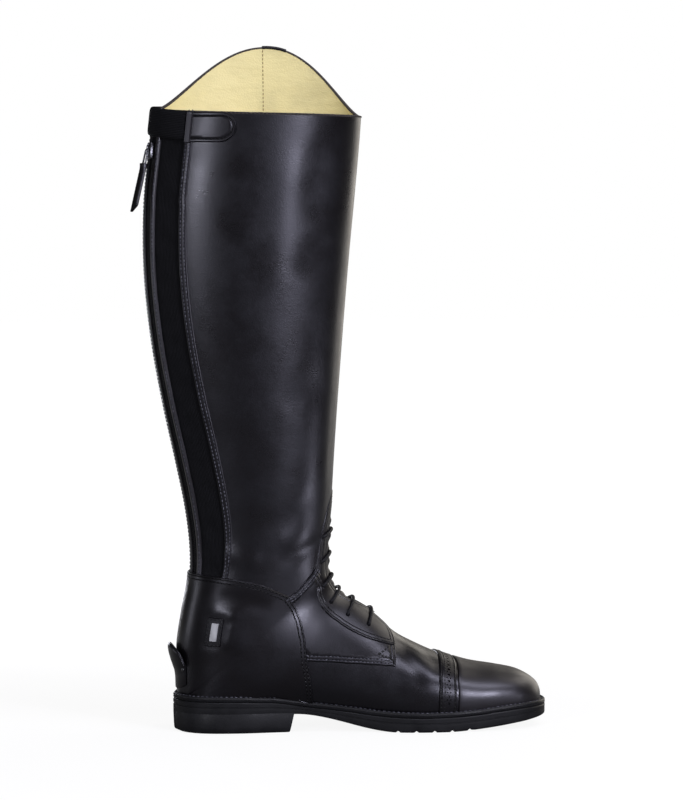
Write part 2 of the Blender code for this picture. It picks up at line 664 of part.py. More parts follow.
def zip_tape():
    """The closed zip: two tapes with the chain standing up between them, as far as the collar band."""
    proud = np.array(ZIP_PROUD) * MM

    def height(z):
        return np.where(z < CHAIN_TOP, proud, np.minimum(proud, -GAP))

    return slot_strip("zip", ZIP_COLUMNS, GAP - WALL, height, "elastic")


def elastic_gusset():
    return slot_strip("elastic_gusset", GUSSET_COLUMNS, GAP - WALL, lambda z: -GAP + 0.0 * z, "elastic")


def raised_strip(name, distances, lows, highs, thick, finish):
    """A piece on the outside of the shaft, round the back, between two heights at each distance."""
    rows = 3
    numbers = np.empty((rows + 1, len(distances)))
    places = np.empty_like(numbers)
    for column, (distance, low, high) in enumerate(zip(distances, lows, highs)):
        u = from_back(SHAFT_END + 1.0, distance)[0]
        for row, height in enumerate(np.linspace(low, high, rows + 1)):
            numbers[row, column] = row_at_height(u, height)
            places[row, column] = u
    return sheet(name, numbers, places, STRIP_GAP, STRIP_GAP + thick, finish)


def collar_band():
    count = len(BAND_COLUMNS)
    low, high = [BAND_LOW] * count, [BAND_HIGH] * count
    return raised_strip("collar_band", BAND_COLUMNS, low, high, BAND_THICK, "elastic")


def snap_tab():
    """The leather tab at the end of the band, with a round end."""
    distances = np.array(TAB_COLUMNS)
    past = np.clip((distances - TAB_COLUMNS[-1] + TAB_ROUND) / TAB_ROUND, 0.0, 0.98)
    half = 0.5 * (TAB_HIGH - TAB_LOW) * np.sqrt(1.0 - past**2)
    middle = 0.5 * (TAB_HIGH + TAB_LOW)
    return raised_strip("snap_tab", TAB_COLUMNS, middle - half, middle + half, TAB_THICK, "leather")


def side_strip():
    """The strip down the lateral side from the peak of the rim, with a round lower end."""
    shares, lengths = girth(SHAFT_END + 1.0, 1.0)
    middle = np.interp(STRIP_PLACE, shares, lengths)
    offsets = np.array(STRIP_COLUMNS)
    u = np.interp(middle + offsets, lengths, shares)
    high = np.array([rim_height(place) for place in u]) - GAP
    low = high.max() - STRIP_LENGTH + 8.5 * MM * (1.0 - np.sqrt(1.0 - (0.99 * offsets / offsets[-1]) ** 2))
    share = np.linspace(0.0, 1.0, 7)[:, None]
    heights = low + (high - low) * share
    v = np.array([[row_at_height(place, height) for place, height in zip(u, row)] for row in heights])
    return sheet("side_strip", v, np.broadcast_to(u, v.shape), STRIP_GAP, STRIP_GAP + STRIP_THICK, "leather")


def spur_rest():
    """The ledge at the back of the heel, flared at its top."""
    v = np.broadcast_to(np.array(SPUR_REST_ROWS)[:, None], (len(SPUR_REST_ROWS), len(SPUR_REST_COLUMNS)))
    u = np.array([from_back(number, SPUR_REST_COLUMNS) for number in SPUR_REST_ROWS])
    sides = 1.0 - np.abs(np.array(SPUR_REST_COLUMNS) / SPUR_REST_COLUMNS[0])
    proud = np.array(SPUR_REST_PROUD)[:, None] * MM
    high = SPUR_REST_EDGE + (proud - SPUR_REST_EDGE) * np.sqrt(sides)[None, :]
    return sheet("spur_rest", v, u, OVERLAY_PROUD + GAP, high, "leather")


def side_place(x, z, side):
    """Section number and place round it of the point of one side that lies at x and z."""
    numbers = np.linspace(0.0, TOP_ROW, 2001)
    row = section(numbers)
    run_x, run_z = row["back_x"] - row["front_x"], row["back_z"] - row["front_z"]
    across = run_x * (z - row["front_z"]) - run_z * (x - row["front_x"])
    inside = (x - row["front_x"]) * run_x + (z - row["front_z"]) * run_z > 0
    crossing = np.nonzero((across[:-1] * across[1:] <= 0) & inside[:-1])[0][0]
    share = across[crossing] / (across[crossing] - across[crossing + 1] + 1e-15)
    v = numbers[crossing] + share * (numbers[1] - numbers[0])
    shares = np.linspace(0.0, 1.0, 801)
    points = surface(np.full(shares.shape, v), side * shares)
    return v, side * shares[np.argmin(np.hypot(points[:, 0] - x, points[:, 2] - z))]


def spur_patches():
    """A small patch on each side of the counter."""
    steps = (-1.0, -0.33, 0.33, 1.0)
    for name, side in (("spur_patch_medial", -1.0), ("spur_patch_lateral", 1.0)):
        v, u = np.empty((4, 4)), np.empty((4, 4))
        for row, up in enumerate(steps):
            for column, along in enumerate(steps):
                x = PATCH_MIDDLE[0] + PATCH_HALF[0] * along + PATCH_LEAN * PATCH_HALF[1] * up
                z = PATCH_MIDDLE[1] + PATCH_HALF[1] * up - 0.5 * PATCH_LEAN * PATCH_HALF[0] * along
                v[row, column], u[row, column] = side_place(x * MM, z * MM, side)
        sheet(name, v, u, OVERLAY_PROUD + GAP, OVERLAY_PROUD + GAP + PATCH_THICK, "rubber")


def block(name, middle, right, up, out, size, finish, origin=None):
    """A flat block with its corners taken off, on its own three directions."""
    half_x, half_y, half_z = (0.5 * side for side in size)
    cut = 0.3 * half_x
    outline = [
        (half_x, half_y - cut), (half_x - cut, half_y), (cut - half_x, half_y), (-half_x, half_y - cut),
        (-half_x, cut - half_y), (cut - half_x, -half_y), (half_x - cut, -half_y), (half_x, cut - half_y),
    ]
    origin = np.zeros(3) if origin is None else origin
    points = []
    for depth in (-half_z, half_z):
        points += [middle - origin + right * x + up * y + out * depth for x, y in outline]
    faces = [list(range(8))[::-1], list(range(8, 16))]
    faces += [[corner, (corner + 1) % 8, (corner + 1) % 8 + 8, corner + 8] for corner in range(8)]
    made = place_mesh(name, points, faces, finish)
    made.location = tuple(origin)
    return made


def zip_pull():
    """The slider on the chain, and the link and leather tab that swing on it."""
    u = from_back(SHAFT_END + 1.0, ZIP_MIDDLE)[0]
    v = row_at_height(u, SLIDER_HEIGHT)
    foot, out = surface(v, u), normals(v, u)
    up = np.array([0.0, 0.0, 1.0])
    level = np.array([out[0], out[1], 0.0]) / np.hypot(out[0], out[1])
    axis = np.cross(level, up)
    along = np.cross(out, axis)
    base = CHAIN_PROUD + GAP
    block("zip_slider", foot + out * (base + 0.5 * SLIDER_SIZE[2]), axis, along, out, SLIDER_SIZE, "metal")
    hinge = foot + out * (base + SLIDER_SIZE[2] + GAP + HINGE_PROUD)
    down = -up * np.cos(PULL_LEAN) + level * np.sin(PULL_LEAN)
    face = np.cross(axis, down)
    link_middle = hinge + down * (0.5 * LINK_SIZE[1] - LINK_PAST_HINGE)
    block("zip_pull_link", link_middle, axis, down, face, LINK_SIZE, "metal", hinge)
    tab_middle = hinge + down * (LINK_SIZE[1] - LINK_PAST_HINGE + GAP + 0.5 * PULL_SIZE[1])
    block("zip_pull_tab", tab_middle, axis, down, face, PULL_SIZE, "leather", hinge)


def main():
    for old in list(bpy.data.objects):
        bpy.data.objects.remove(old)
    for make in (
        upper, outsole, heel, insole, welt, toe_cap, heel_counter, tongue, lace_bars, zip_tape, elastic_gusset,
        collar_band, snap_tab, side_strip, spur_rest, spur_patches, zip_pull,
    ):
        make()


main()
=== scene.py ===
"""Looks of the tall laced field boot for the left foot: panels, seams, closures, finishes and a studio.

Every piece is laid on the boot's own surface. A place on it is (v, u): v is the section number, from the toe
tip over the heel to the rim, and u runs round the section from the front (0) to the back by the medial
side (-1) or the lateral side (1). Heights are measured out from that surface.
"""

import bpy
import numpy as np
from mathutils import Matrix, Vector
from mathutils.geometry import delaunay_2d_cdt
from mathutils.kdtree import KDTree


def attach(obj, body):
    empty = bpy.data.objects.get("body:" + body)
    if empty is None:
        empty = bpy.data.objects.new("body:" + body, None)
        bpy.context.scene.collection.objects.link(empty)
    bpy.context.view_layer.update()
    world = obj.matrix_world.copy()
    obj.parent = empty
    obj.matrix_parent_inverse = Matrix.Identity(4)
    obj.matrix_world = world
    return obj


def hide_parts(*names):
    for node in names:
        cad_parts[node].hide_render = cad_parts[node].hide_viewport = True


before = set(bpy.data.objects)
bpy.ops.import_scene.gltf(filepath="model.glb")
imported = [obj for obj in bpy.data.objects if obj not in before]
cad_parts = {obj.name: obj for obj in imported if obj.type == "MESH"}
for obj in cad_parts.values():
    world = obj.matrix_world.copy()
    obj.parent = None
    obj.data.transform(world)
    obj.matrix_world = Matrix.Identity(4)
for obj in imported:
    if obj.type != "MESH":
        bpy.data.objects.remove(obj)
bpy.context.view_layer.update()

bl_info = {
    "name": "Field boot looks",
    "version": (1, 0, 0),
    "blender": (4, 5, 0),
    "location": "View3D > Sidebar > Boot",
    "description": "Builds the visible pieces of a tall laced field boot on its CAD frame",
    "category": "Object",
}

MM = 0.001

# One row for each section of the upper, in millimetres, as in the CAD
SECTION_COLUMNS = (
    "front_x", "front_z", "back_x", "back_z", "middle_y", "medial", "lateral",
    "sole_medial", "sole_lateral", "fullest", "front_power", "back_power",
)
SECTION_TABLE = (
    (238.8, 24.6, 238.8, 16.0, -4.0, 0.0, 0.0, 0.0, 0.0, 0.70, 2.30, 2.4),
    (234.6, 32.4, 234.6, 16.0, -4.0, 16.5, 16.5, 16.0, 16.0, 0.70, 2.30, 2.4),
    (222.5, 39.6, 222.5, 15.6, -3.6, 28.8, 28.0, 27.8, 27.0, 0.70, 2.30, 2.4),
    (206.0, 43.2, 206.0, 14.3, -2.6, 36.0, 34.5, 34.5, 33.3, 0.70, 2.30, 2.4),
    (186.0, 46.6, 186.0, 12.2, -1.0, 41.3, 40.0, 39.8, 38.8, 0.70, 2.25, 2.4),
    (165.0, 53.2, 164.0, 11.0, 0.0, 45.0, 44.5, 43.0, 43.0, 0.70, 2.20, 2.4),
    (146.0, 61.6, 141.0, 10.8, 0.5, 45.5, 47.0, 43.0, 44.8, 0.70, 2.10, 2.4),
    (130.0, 70.4, 116.0, 12.0, 0.5, 43.0, 46.8, 37.5, 43.0, 0.70, 2.00, 2.4),
    (116.0, 82.6, 90.0, 15.2, 0.5, 40.0, 44.0, 30.5, 37.5, 0.68, 1.95, 2.4),
    (103.0, 91.6, 62.0, 18.6, 0.3, 37.5, 41.0, 27.0, 32.5, 0.66, 1.95, 2.3),
    (92.5, 97.4, 35.0, 22.4, 0.0, 35.8, 38.0, 27.8, 30.0, 0.64, 1.95, 2.2),
    (85.6, 103.6, 10.0, 23.4, 0.0, 35.2, 36.5, 29.8, 30.0, 0.62, 2.00, 2.2),
    (81.8, 110.5, -14.0, 23.8, 0.0, 35.0, 35.6, 27.0, 27.0, 0.60, 2.00, 2.2),
    (80.2, 118.0, -27.0, 23.8, 0.0, 34.8, 35.2, 17.0, 17.0, 0.58, 2.00, 2.2),
    (79.6, 126.0, -32.0, 24.0, 0.0, 34.8, 35.0, 0.0, 0.0, 0.56, 2.00, 2.2),
    (79.8, 134.0, -32.6, 44.0, 0.0, 34.8, 34.8, 0.0, 0.0, 0.55, 2.00, 2.2),
    (80.4, 143.5, -32.2, 65.0, 0.0, 35.0, 35.0, 0.0, 0.0, 0.53, 2.00, 2.2),
    (81.2, 155.0, -28.8, 88.0, 0.0, 35.2, 35.2, 0.0, 0.0, 0.52, 2.05, 2.2),
    (82.2, 170.0, -24.4, 112.0, 0.0, 35.6, 35.6, 0.0, 0.0, 0.51, 2.05, 2.2),
    (83.2, 189.0, -24.0, 137.0, 0.0, 36.4, 36.4, 0.0, 0.0, 0.50, 2.10, 2.15),
    (84.6, 213.0, -27.6, 167.0, 0.0, 37.8, 37.8, 0.0, 0.0, 0.50, 2.10, 2.15),
    (86.6, 243.0, -35.0, 203.0, 0.0, 39.6, 39.6, 0.0, 0.0, 0.50, 2.10, 2.1),
    (89.2, 278.0, -44.4, 246.0, 0.0, 41.8, 41.8, 0.0, 0.0, 0.50, 2.10, 2.1),
    (92.2, 316.0, -52.8, 294.0, 0.0, 43.6, 43.6, 0.0, 0.0, 0.50, 2.10, 2.1),
    (95.6, 356.0, -57.6, 343.0, 0.0, 44.8, 44.8, 0.0, 0.0, 0.50, 2.10, 2.1),
    (99.4, 396.0, -57.6, 390.0, 0.0, 45.6, 45.6, 0.0, 0.0, 0.50, 2.10, 2.1),
    (102.9, 435.0, -53.6, 432.0, 0.0, 46.6, 46.6, 0.0, 0.0, 0.50, 2.10, 2.1),
    (105.2, 466.0, -50.0, 466.0, 0.0, 47.6, 47.6, 0.0, 0.0, 0.50, 2.10, 2.1),
    (109.0, 512.0, -46.5, 512.0, 0.0, 49.5, 49.5, 0.0, 0.0, 0.50, 2.10, 2.1),
)
WAIST_ROW = 10
HEEL_ROW = 14
TOP_ROW = len(SECTION_TABLE) - 1
ANKLE_END = 18.25
SHAFT_END = 25.0
RIM_SECTION = 26.0
TIP_OUT = np.array([0.97, 0.0, 0.24])
TIP_SPAN = 0.6
PAST_BACK = 1.02

# Rim of the shaft
RIM_FRONT = 456.0 * MM
RIM_BACK_RISE = 6.0 * MM
PEAK_RISE = 49.0 * MM
PEAK_PLACE = 0.465
PEAK_HALF = 0.5
PEAK_POWER = 3.5

# Rows and columns of the upper's mesh: stretches of section numbers, and millimetres round the section
UPPER_ROWS = (
    (0.0, 1.0, 11), (1.0, 9.0, 65), (9.0, 11.0, 23), (11.0, 14.0, 29), (14.0, ANKLE_END, 37),
    (ANKLE_END, SHAFT_END, 63),
)
RIM_ROWS = 26
FRONT_STEPS = (0.0, 2.2, 4.4, 6.5, 9.0, 11.5, 14.0, 17.0, 20.5, 24.0)
BACK_STEPS = (43.0, 40.3, 37.0, 33.0, 28.5, 23.5, 19.0, 14.5, 10.0, 6.0, 4.0, 2.0, 0.0)
MIDDLE_STEPS = 30
FRONT_REACH = 95.0
BACK_REACH = 110.0
THROAT_HALF = 6.5
THROAT_FROM = 8.0
LINING_THROAT_HALF = 20.5
LINING_THROAT_FROM = 7.6
SLOT_FROM = 17.2
SLOT_NEAR = 6.0
SLOT_FAR = 43.0

# Creases in the leather: side, depth (below 0 is a trough), half width, and a line of (x, z), in millimetres
CREASES = (
    (-1, -0.45, 5.5, ((129, 66), (136, 54), (141, 42), (143, 30))),
    (-1, 0.35, 6.0, ((137, 66), (145, 54), (151, 42), (153, 30))),
    (-1, -0.25, 5.0, ((147, 62), (155, 51), (160, 40))),
    (1, -0.50, 5.0, ((131, 66), (138, 54), (143, 42), (146, 30))),
    (1, 0.40, 4.5, ((138, 67), (146, 54), (152, 42))),
    (1, -0.40, 4.0, ((145, 63), (152, 50), (157, 38))),
    (-1, -0.70, 6.0, ((-10, 104), (4, 101), (20, 97), (36, 93))),
    (-1, 0.90, 9.0, ((0, 96), (5, 84), (5, 70), (1, 58))),
    (-1, 0.80, 6.0, ((-10, 137), (4, 133), (16, 129), (28, 129))),
    (-1, -0.80, 6.0, ((36, 128), (52, 132), (66, 139), (75, 148))),
    (-1, 0.40, 7.0, ((34, 140), (50, 145), (66, 153))),
    (-1, -0.40, 8.0, ((20, 150), (40, 158), (62, 172), (78, 184))),
    (1, -0.80, 6.0, ((30, 126), (50, 132), (66, 140), (75, 150))),
    (1, -0.70, 7.0, ((10, 150), (34, 158), (58, 172), (78, 188))),
    (-1, -0.90, 13.0, ((78, 452), (70, 420), (66, 392), (72, 366))),
    (-1, -0.70, 12.0, ((52, 330), (66, 352), (80, 366))),
    (-1, 0.60, 14.0, ((50, 440), (44, 400), (40, 350), (30, 300))),
    (1, -1.10, 12.0, ((0, 392), (24, 384), (48, 390), (70, 402))),
    (1, -0.80, 13.0, ((6, 330), (30, 344), (56, 342), (78, 330))),
    (1, -0.70, 12.0, ((10, 250), (36, 262), (64, 258))),
    (-1, -0.60, 14.0, ((40, 236), (58, 254), (80, 262))),
    (-1, 0.55, 3.6, ((-15, 89.5), (-6, 91.0), (3, 89.0), (6, 84.0))),
    (-1, 0.50, 3.4, ((4, 86), (3, 77), (0, 68), (-3, 61))),
    (-1, 0.45, 3.6, ((-24, 66), (-18, 61), (-10, 59.5), (-1, 61))),
)
CREASE_FADE = 0.3
SIDES = (("medial", -1.0), ("lateral", 1.0))
UP = np.array([0.0, 0.0, 1.0])


def led_sections():
    """The section table in metres, with a row before it, so that the toe closes round, and a row after it."""
    table = np.array(SECTION_TABLE)
    table[:, :9] *= MM
    mirrored = np.array([-1.0 if "medial" in name or "lateral" in name else 1.0 for name in SECTION_COLUMNS])
    return np.vstack([table[1] * mirrored, table, 2 * table[-1] - table[-2]])


SECTIONS = led_sections()


def curve_between(a, b, c, d, f):
    """A smooth curve from b to c at shares f of the way, where a comes before b and d after c."""
    return 0.5 * (2 * b + (c - a) * f + (2 * a - 5 * b + 4 * c - d) * f**2 + (3 * b - a - 3 * c + d) * f**3)


def held(shares):
    """Shares held between 0 and 1."""
    return np.clip(shares, 0.0, 1.0)


def eased(shares):
    """Shares between 0 and 1 that start and end softly."""
    return shares * shares * (3.0 - 2.0 * shares)


def stretches(*rows):
    """Numbers along several stretches, each given by its start, its end and a count."""
    return np.unique(np.concatenate([np.linspace(*row) for row in rows]))


def lengths_along(points):
    """Length of a path from its start to each of its points."""
    return np.concatenate([[0.0], np.cumsum(np.linalg.norm(np.diff(points, axis=0), axis=1))])


def section(v):
    """The columns of the section at each row number, which may fall between two rows."""
    v = np.clip(np.asarray(v, float), 0.0, TOP_ROW)
    row = np.minimum(v.astype(int), TOP_ROW - 1)
    f = (v - row)[..., None]
    a, b, c, d = (SECTIONS[row + step] for step in range(4))
    found = dict(zip(SECTION_COLUMNS, np.moveaxis(curve_between(a, b, c, d, f), -1, 0)))
    straight = (b + (c - b) * f)[..., SECTION_COLUMNS.index("back_z")]
    found["back_z"] = np.where((v > WAIST_ROW) & (v < HEEL_ROW), straight, found["back_z"])
    return found


def rounded(value, power):
    """A sine or cosine bent to a fuller or leaner arc, keeping its sign."""
    return np.sign(value) * np.abs(value) ** (2.0 / power)


def surface(v, u):
    """Points on the outside of the upper. Past the back, u may run on from 1 instead of starting at -1."""
    row = section(v)
    u = np.asarray(u, float) + 0.0 * row["front_x"]
    u = np.where(u > PAST_BACK, u - 2.0, u)
    share = np.abs(u)
    width = np.maximum(np.where(u < 0, row["medial"], row["lateral"]), 1e-9)
    sole = np.where(u < 0, row["sole_medial"], row["sole_lateral"])
    front_angle = np.pi * np.minimum(share, 0.5)
    kept = np.clip(sole / width, 0.0, 0.995)
    end = (1.0 - kept ** row["back_power"]) ** (1.0 / row["back_power"])
    back_angle = np.arcsin(end ** (row["back_power"] / 2.0)) * (2.0 * np.maximum(share, 0.5) - 1.0)
    front_along = row["fullest"] * (1.0 - rounded(np.cos(front_angle), row["front_power"]))
    back_run = rounded(np.sin(back_angle), row["back_power"]) / np.maximum(end, 1e-9)
    back_along = row["fullest"] + (1.0 - row["fullest"]) * back_run
    in_front = share <= 0.5
    along = np.where(in_front, front_along, back_along)
    out = np.where(
        in_front,
        rounded(np.sin(front_angle), row["front_power"]),
        rounded(np.cos(back_angle), row["back_power"]),
    )
    x = row["front_x"] + (row["back_x"] - row["front_x"]) * along
    z = row["front_z"] + (row["back_z"] - row["front_z"]) * along
    y = row["middle_y"] + np.where(u < 0, -1.0, 1.0) * width * out
    return np.stack([x, y, z], axis=-1)


def unit(vectors):
    return vectors / np.maximum(np.linalg.norm(vectors, axis=-1, keepdims=True), 1e-12)


def slopes(v, u):
    """How the surface runs with v and with u."""
    small_v, small_u = 0.03, 0.006
    v = np.clip(v, small_v + 0.05, TOP_ROW - small_v)
    along = (surface(v + small_v, u) - surface(v - small_v, u)) / (2 * small_v)
    across = (surface(v, u + small_u) - surface(v, u - small_u)) / (2 * small_u)
    return along, across


def normals(v, u):
    """Unit normals of the upper's outside, pointing out, all alike at the toe tip."""
    v, u = np.broadcast_arrays(np.asarray(v, float), np.asarray(u, float))
    along, across = slopes(v, u)
    found = unit(np.cross(across, along))
    row = section(v)
    core = np.stack([
        row["front_x"] + (row["back_x"] - row["front_x"]) * row["fullest"],
        row["middle_y"],
        row["front_z"] + (row["back_z"] - row["front_z"]) * row["fullest"],
    ], axis=-1)
    outward = np.sum(found * (surface(v, u) - core), axis=-1, keepdims=True)
    found = np.where(outward < 0, -found, found)
    tip = held(v / TIP_SPAN)[..., None]
    return unit(found * tip + TIP_OUT * (1.0 - tip))


def girth(v, side):
    """Shares round one side of a section, and the length from the front at each, in millimetres."""
    shares = np.linspace(0.0, 1.0, 161)
    return shares, lengths_along(surface(v, side * shares)) / MM


def from_front(v, distances):
    """Places at distances in millimetres from the front: the medial side below 0, the lateral above."""
    distances = np.atleast_1d(np.asarray(distances, float))
    medial = -np.interp(-distances, *girth(v, -1.0)[::-1])
    lateral = np.interp(distances, *girth(v, 1.0)[::-1])
    return np.where(distances < 0, medial, lateral)


def from_back(v, distances):
    """Places at distances in millimetres from the back: the medial side above 0, the lateral below."""
    distances = np.atleast_1d(np.asarray(distances, float))
    medial, lateral = (girth(v, side)[1][-1] for _, side in SIDES)
    return from_front(v, np.where(distances >= 0, distances - medial, distances + lateral))


def rim_height(u):
    """Height of the rim at a place round it."""
    offset = np.clip((u - PEAK_PLACE) / PEAK_HALF, -1.0, 1.0)
    return RIM_FRONT + RIM_BACK_RISE * np.abs(u) + PEAK_RISE * (1.0 - offset**2) ** PEAK_POWER


SHAFT_NUMBERS = np.linspace(ANKLE_END - 1.0, TOP_ROW, 160)


def rows_at(places, heights):
    """Section numbers at which the surface reaches heights, one for each place round the shaft."""
    return np.array([
        np.interp(height, surface(SHAFT_NUMBERS, u)[:, 2], SHAFT_NUMBERS)
        for u, height in zip(places, heights)
    ])


def at_heights(places, heights):
    """Places round the shaft at which the surface reaches heights."""
    return np.column_stack([rows_at(places, heights), places])


FINE_NUMBERS = np.linspace(0.0, TOP_ROW, 2001)
FINE_ROWS = section(FINE_NUMBERS)
FINE_SHARES = np.linspace(0.0, 1.0, 601)


def side_place(x, z, side):
    """Section number and place round it of one side's point at x and z, or of the nearest front point."""
    run_x = FINE_ROWS["back_x"] - FINE_ROWS["front_x"]
    run_z = FINE_ROWS["back_z"] - FINE_ROWS["front_z"]
    from_x, from_z = x - FINE_ROWS["front_x"], z - FINE_ROWS["front_z"]
    across = run_x * from_z - run_z * from_x
    inside = from_x * run_x + from_z * run_z > 0
    crossings = np.nonzero((across[:-1] * across[1:] <= 0) & inside[:-1])[0]
    if len(crossings) == 0:
        return FINE_NUMBERS[np.argmin(np.hypot(from_x, from_z))], 0.0
    crossing = crossings[0]
    share = across[crossing] / (across[crossing] - across[crossing + 1] + 1e-15)
    v = FINE_NUMBERS[crossing] + share * FINE_NUMBERS[1]
    points = surface(v, side * FINE_SHARES)
    return v, side * FINE_SHARES[np.argmin(np.hypot(points[:, 0] - x, points[:, 2] - z))]


def smooth_line(points, steps):
    """A smooth curve through points, with a number of steps between each two."""
    points = np.asarray(points, float)
    led = np.vstack([2 * points[0] - points[1], points, 2 * points[-1] - points[-2]])
    f = np.linspace(0.0, 1.0, steps, endpoint=False)[:, None]
    parts = [curve_between(a, b, c, d, f) for a, b, c, d in zip(led[:-3], led[1:-2], led[2:-1], led[3:])]
    return np.vstack(parts + [points[-1:]])


def on_side(line, side, steps=8):
    """Places along a smooth line of (x, z) in millimetres on one side of the boot."""
    return np.array([side_place(x * MM, z * MM, side) for x, z in smooth_line(line, steps)])


def crease_lines():
    """Each crease as points in space with its depth and half width in metres."""
    lines = []
    for side, depth, width, line in CREASES:
        places = on_side(line, float(side), 3)
        lines.append((surface(*places.T), depth * MM, width * MM))
    return lines


CREASE_LINES = crease_lines()


def relief(points):
    """Height that the creases add to the surface at points on it."""
    flat = points.reshape(-1, 3)
    total = np.zeros(len(flat))
    for line, depth, width in CREASE_LINES:
        near = np.all((flat > line.min(axis=0) - 3 * width) & (flat < line.max(axis=0) + 3 * width), axis=1)
        if not near.any():
            continue
        here = flat[near]
        runs = np.diff(line, axis=0)
        best = np.full(len(here), np.inf)
        place = np.zeros(len(here))
        for number, (start, run) in enumerate(zip(line[:-1], runs)):
            share = held((here - start) @ run / (run @ run))
            apart = np.linalg.norm(here - start - share[:, None] * run, axis=1)
            closer = apart < best
            best = np.where(closer, apart, best)
            place = np.where(closer, (number + share) / len(runs), place)
        fade = held(np.minimum(place, 1.0 - place) / CREASE_FADE)
        total[near] += depth * np.exp(-((best / width) ** 2)) * eased(fade)
    return total.reshape(points.shape[:-1])


def laid(v, u, height=0.0):
    """Points at a height above the creased surface."""
    v, u = np.broadcast_arrays(np.asarray(v, float), np.asarray(u, float))
    points = surface(v, u)
    return points + normals(v, u) * (np.asarray(height) + relief(points))[..., None]


def stepped(places, moves):
    """Places reached from places by small moves in space along the surface."""
    along, across = slopes(*places.T)
    a = np.sum(along * along, axis=1)
    b = np.sum(along * across, axis=1)
    c = np.sum(across * across, axis=1)
    p = np.sum(along * moves, axis=1)
    q = np.sum(across * moves, axis=1)
    bottom = np.maximum(a * c - b * b, 1e-18)
    return places + np.stack([(p * c - q * b) / bottom, (q * a - p * b) / bottom], axis=1)


def at_lengths(stops, lengths, path):
    """Places or points of a path at these lengths along it."""
    return np.column_stack([np.interp(stops, lengths, column) for column in path.T])


def spaced(path, pitch, closed=False):
    """The path with places an even pitch apart in space."""
    path = np.vstack([path, path[:1]]) if closed else np.asarray(path)
    lengths = lengths_along(surface(*path.T))
    count = max(int(round(lengths[-1] / pitch)), 3)
    stops = np.linspace(0.0, lengths[-1], count + 1)
    return at_lengths(stops[:-1] if closed else stops, lengths, path)


def runs_along(points, closed):
    """Unit directions of travel along a path of points."""
    if closed:
        return unit(np.roll(points, -1, axis=0) - np.roll(points, 1, axis=0))
    return unit(np.gradient(points, axis=0))


def moved(path, distance, closed=False):
    """The path moved sideways over the surface, to the left of travel seen from outside."""
    run = runs_along(surface(*path.T), closed)
    aside = unit(np.cross(normals(*path.T), run))
    return stepped(path, aside * distance)


def inside(loop, places):
    """Whether each place lies inside a closed loop of places."""
    v, u = places[:, 0][:, None], places[:, 1][:, None]
    start, end = loop, np.roll(loop, -1, axis=0)
    spans = (start[:, 1] > u) != (end[:, 1] > u)
    rise = np.where(np.abs(end[:, 1] - start[:, 1]) < 1e-12, 1e-12, end[:, 1] - start[:, 1])
    cross = start[:, 0] + (u - start[:, 1]) * (end[:, 0] - start[:, 0]) / rise
    return np.sum(spans & (v < cross), axis=1) % 2 == 1


class Tone:
    """A shader value that plain arithmetic works on."""

    def __init__(self, paint, socket):
        self.paint = paint
        self.socket = socket

    def maths(self, operation, first, second):
        return self.paint.node("ShaderNodeMath", {"operation": operation}, {0: first, 1: second})

    def __add__(self, other):
        return self.maths("ADD", self, other)

    def __radd__(self, other):
        return self.maths("ADD", other, self)

    def __sub__(self, other):
        return self.maths("SUBTRACT", self, other)

    def __rsub__(self, other):
        return self.maths("SUBTRACT", other, self)

    def __mul__(self, other):
        return self.maths("MULTIPLY", self, other)

    def __rmul__(self, other):
        return self.maths("MULTIPLY", other, self)


class NodeTree:
    """The nodes of a material or a world."""

    def __init__(self, tree):
        self.tree = tree

    def feed(self, socket, value):
        if isinstance(value, Tone):
            self.tree.links.new(value.socket, socket)
        else:
            socket.default_value = value

    def node(self, kind, settings, inputs, output=0):
        made = self.tree.nodes.new(kind)
        for name, value in settings.items():
            setattr(made, name, value)
        for name, value in inputs.items():
            self.feed(made.inputs[name], value)
        return Tone(self, made.outputs[output])

    def glow(self, kind, strength):
        return self.node(kind, {}, {"Color": (1.0, 1.0, 1.0, 1.0), "Strength": strength})

    def blend(self, share, first, second):
        """Two shaders, the second by its share."""
        return self.node("ShaderNodeMixShader", {}, {0: share, 1: first, 2: second})

    def seen_and_cast(self, seen, cast):
        """One shader for what the camera sees directly, one for the light that is cast on the boot."""
        return self.blend(self.node("ShaderNodeLightPath", {}, {}, "Is Camera Ray"), cast, seen)


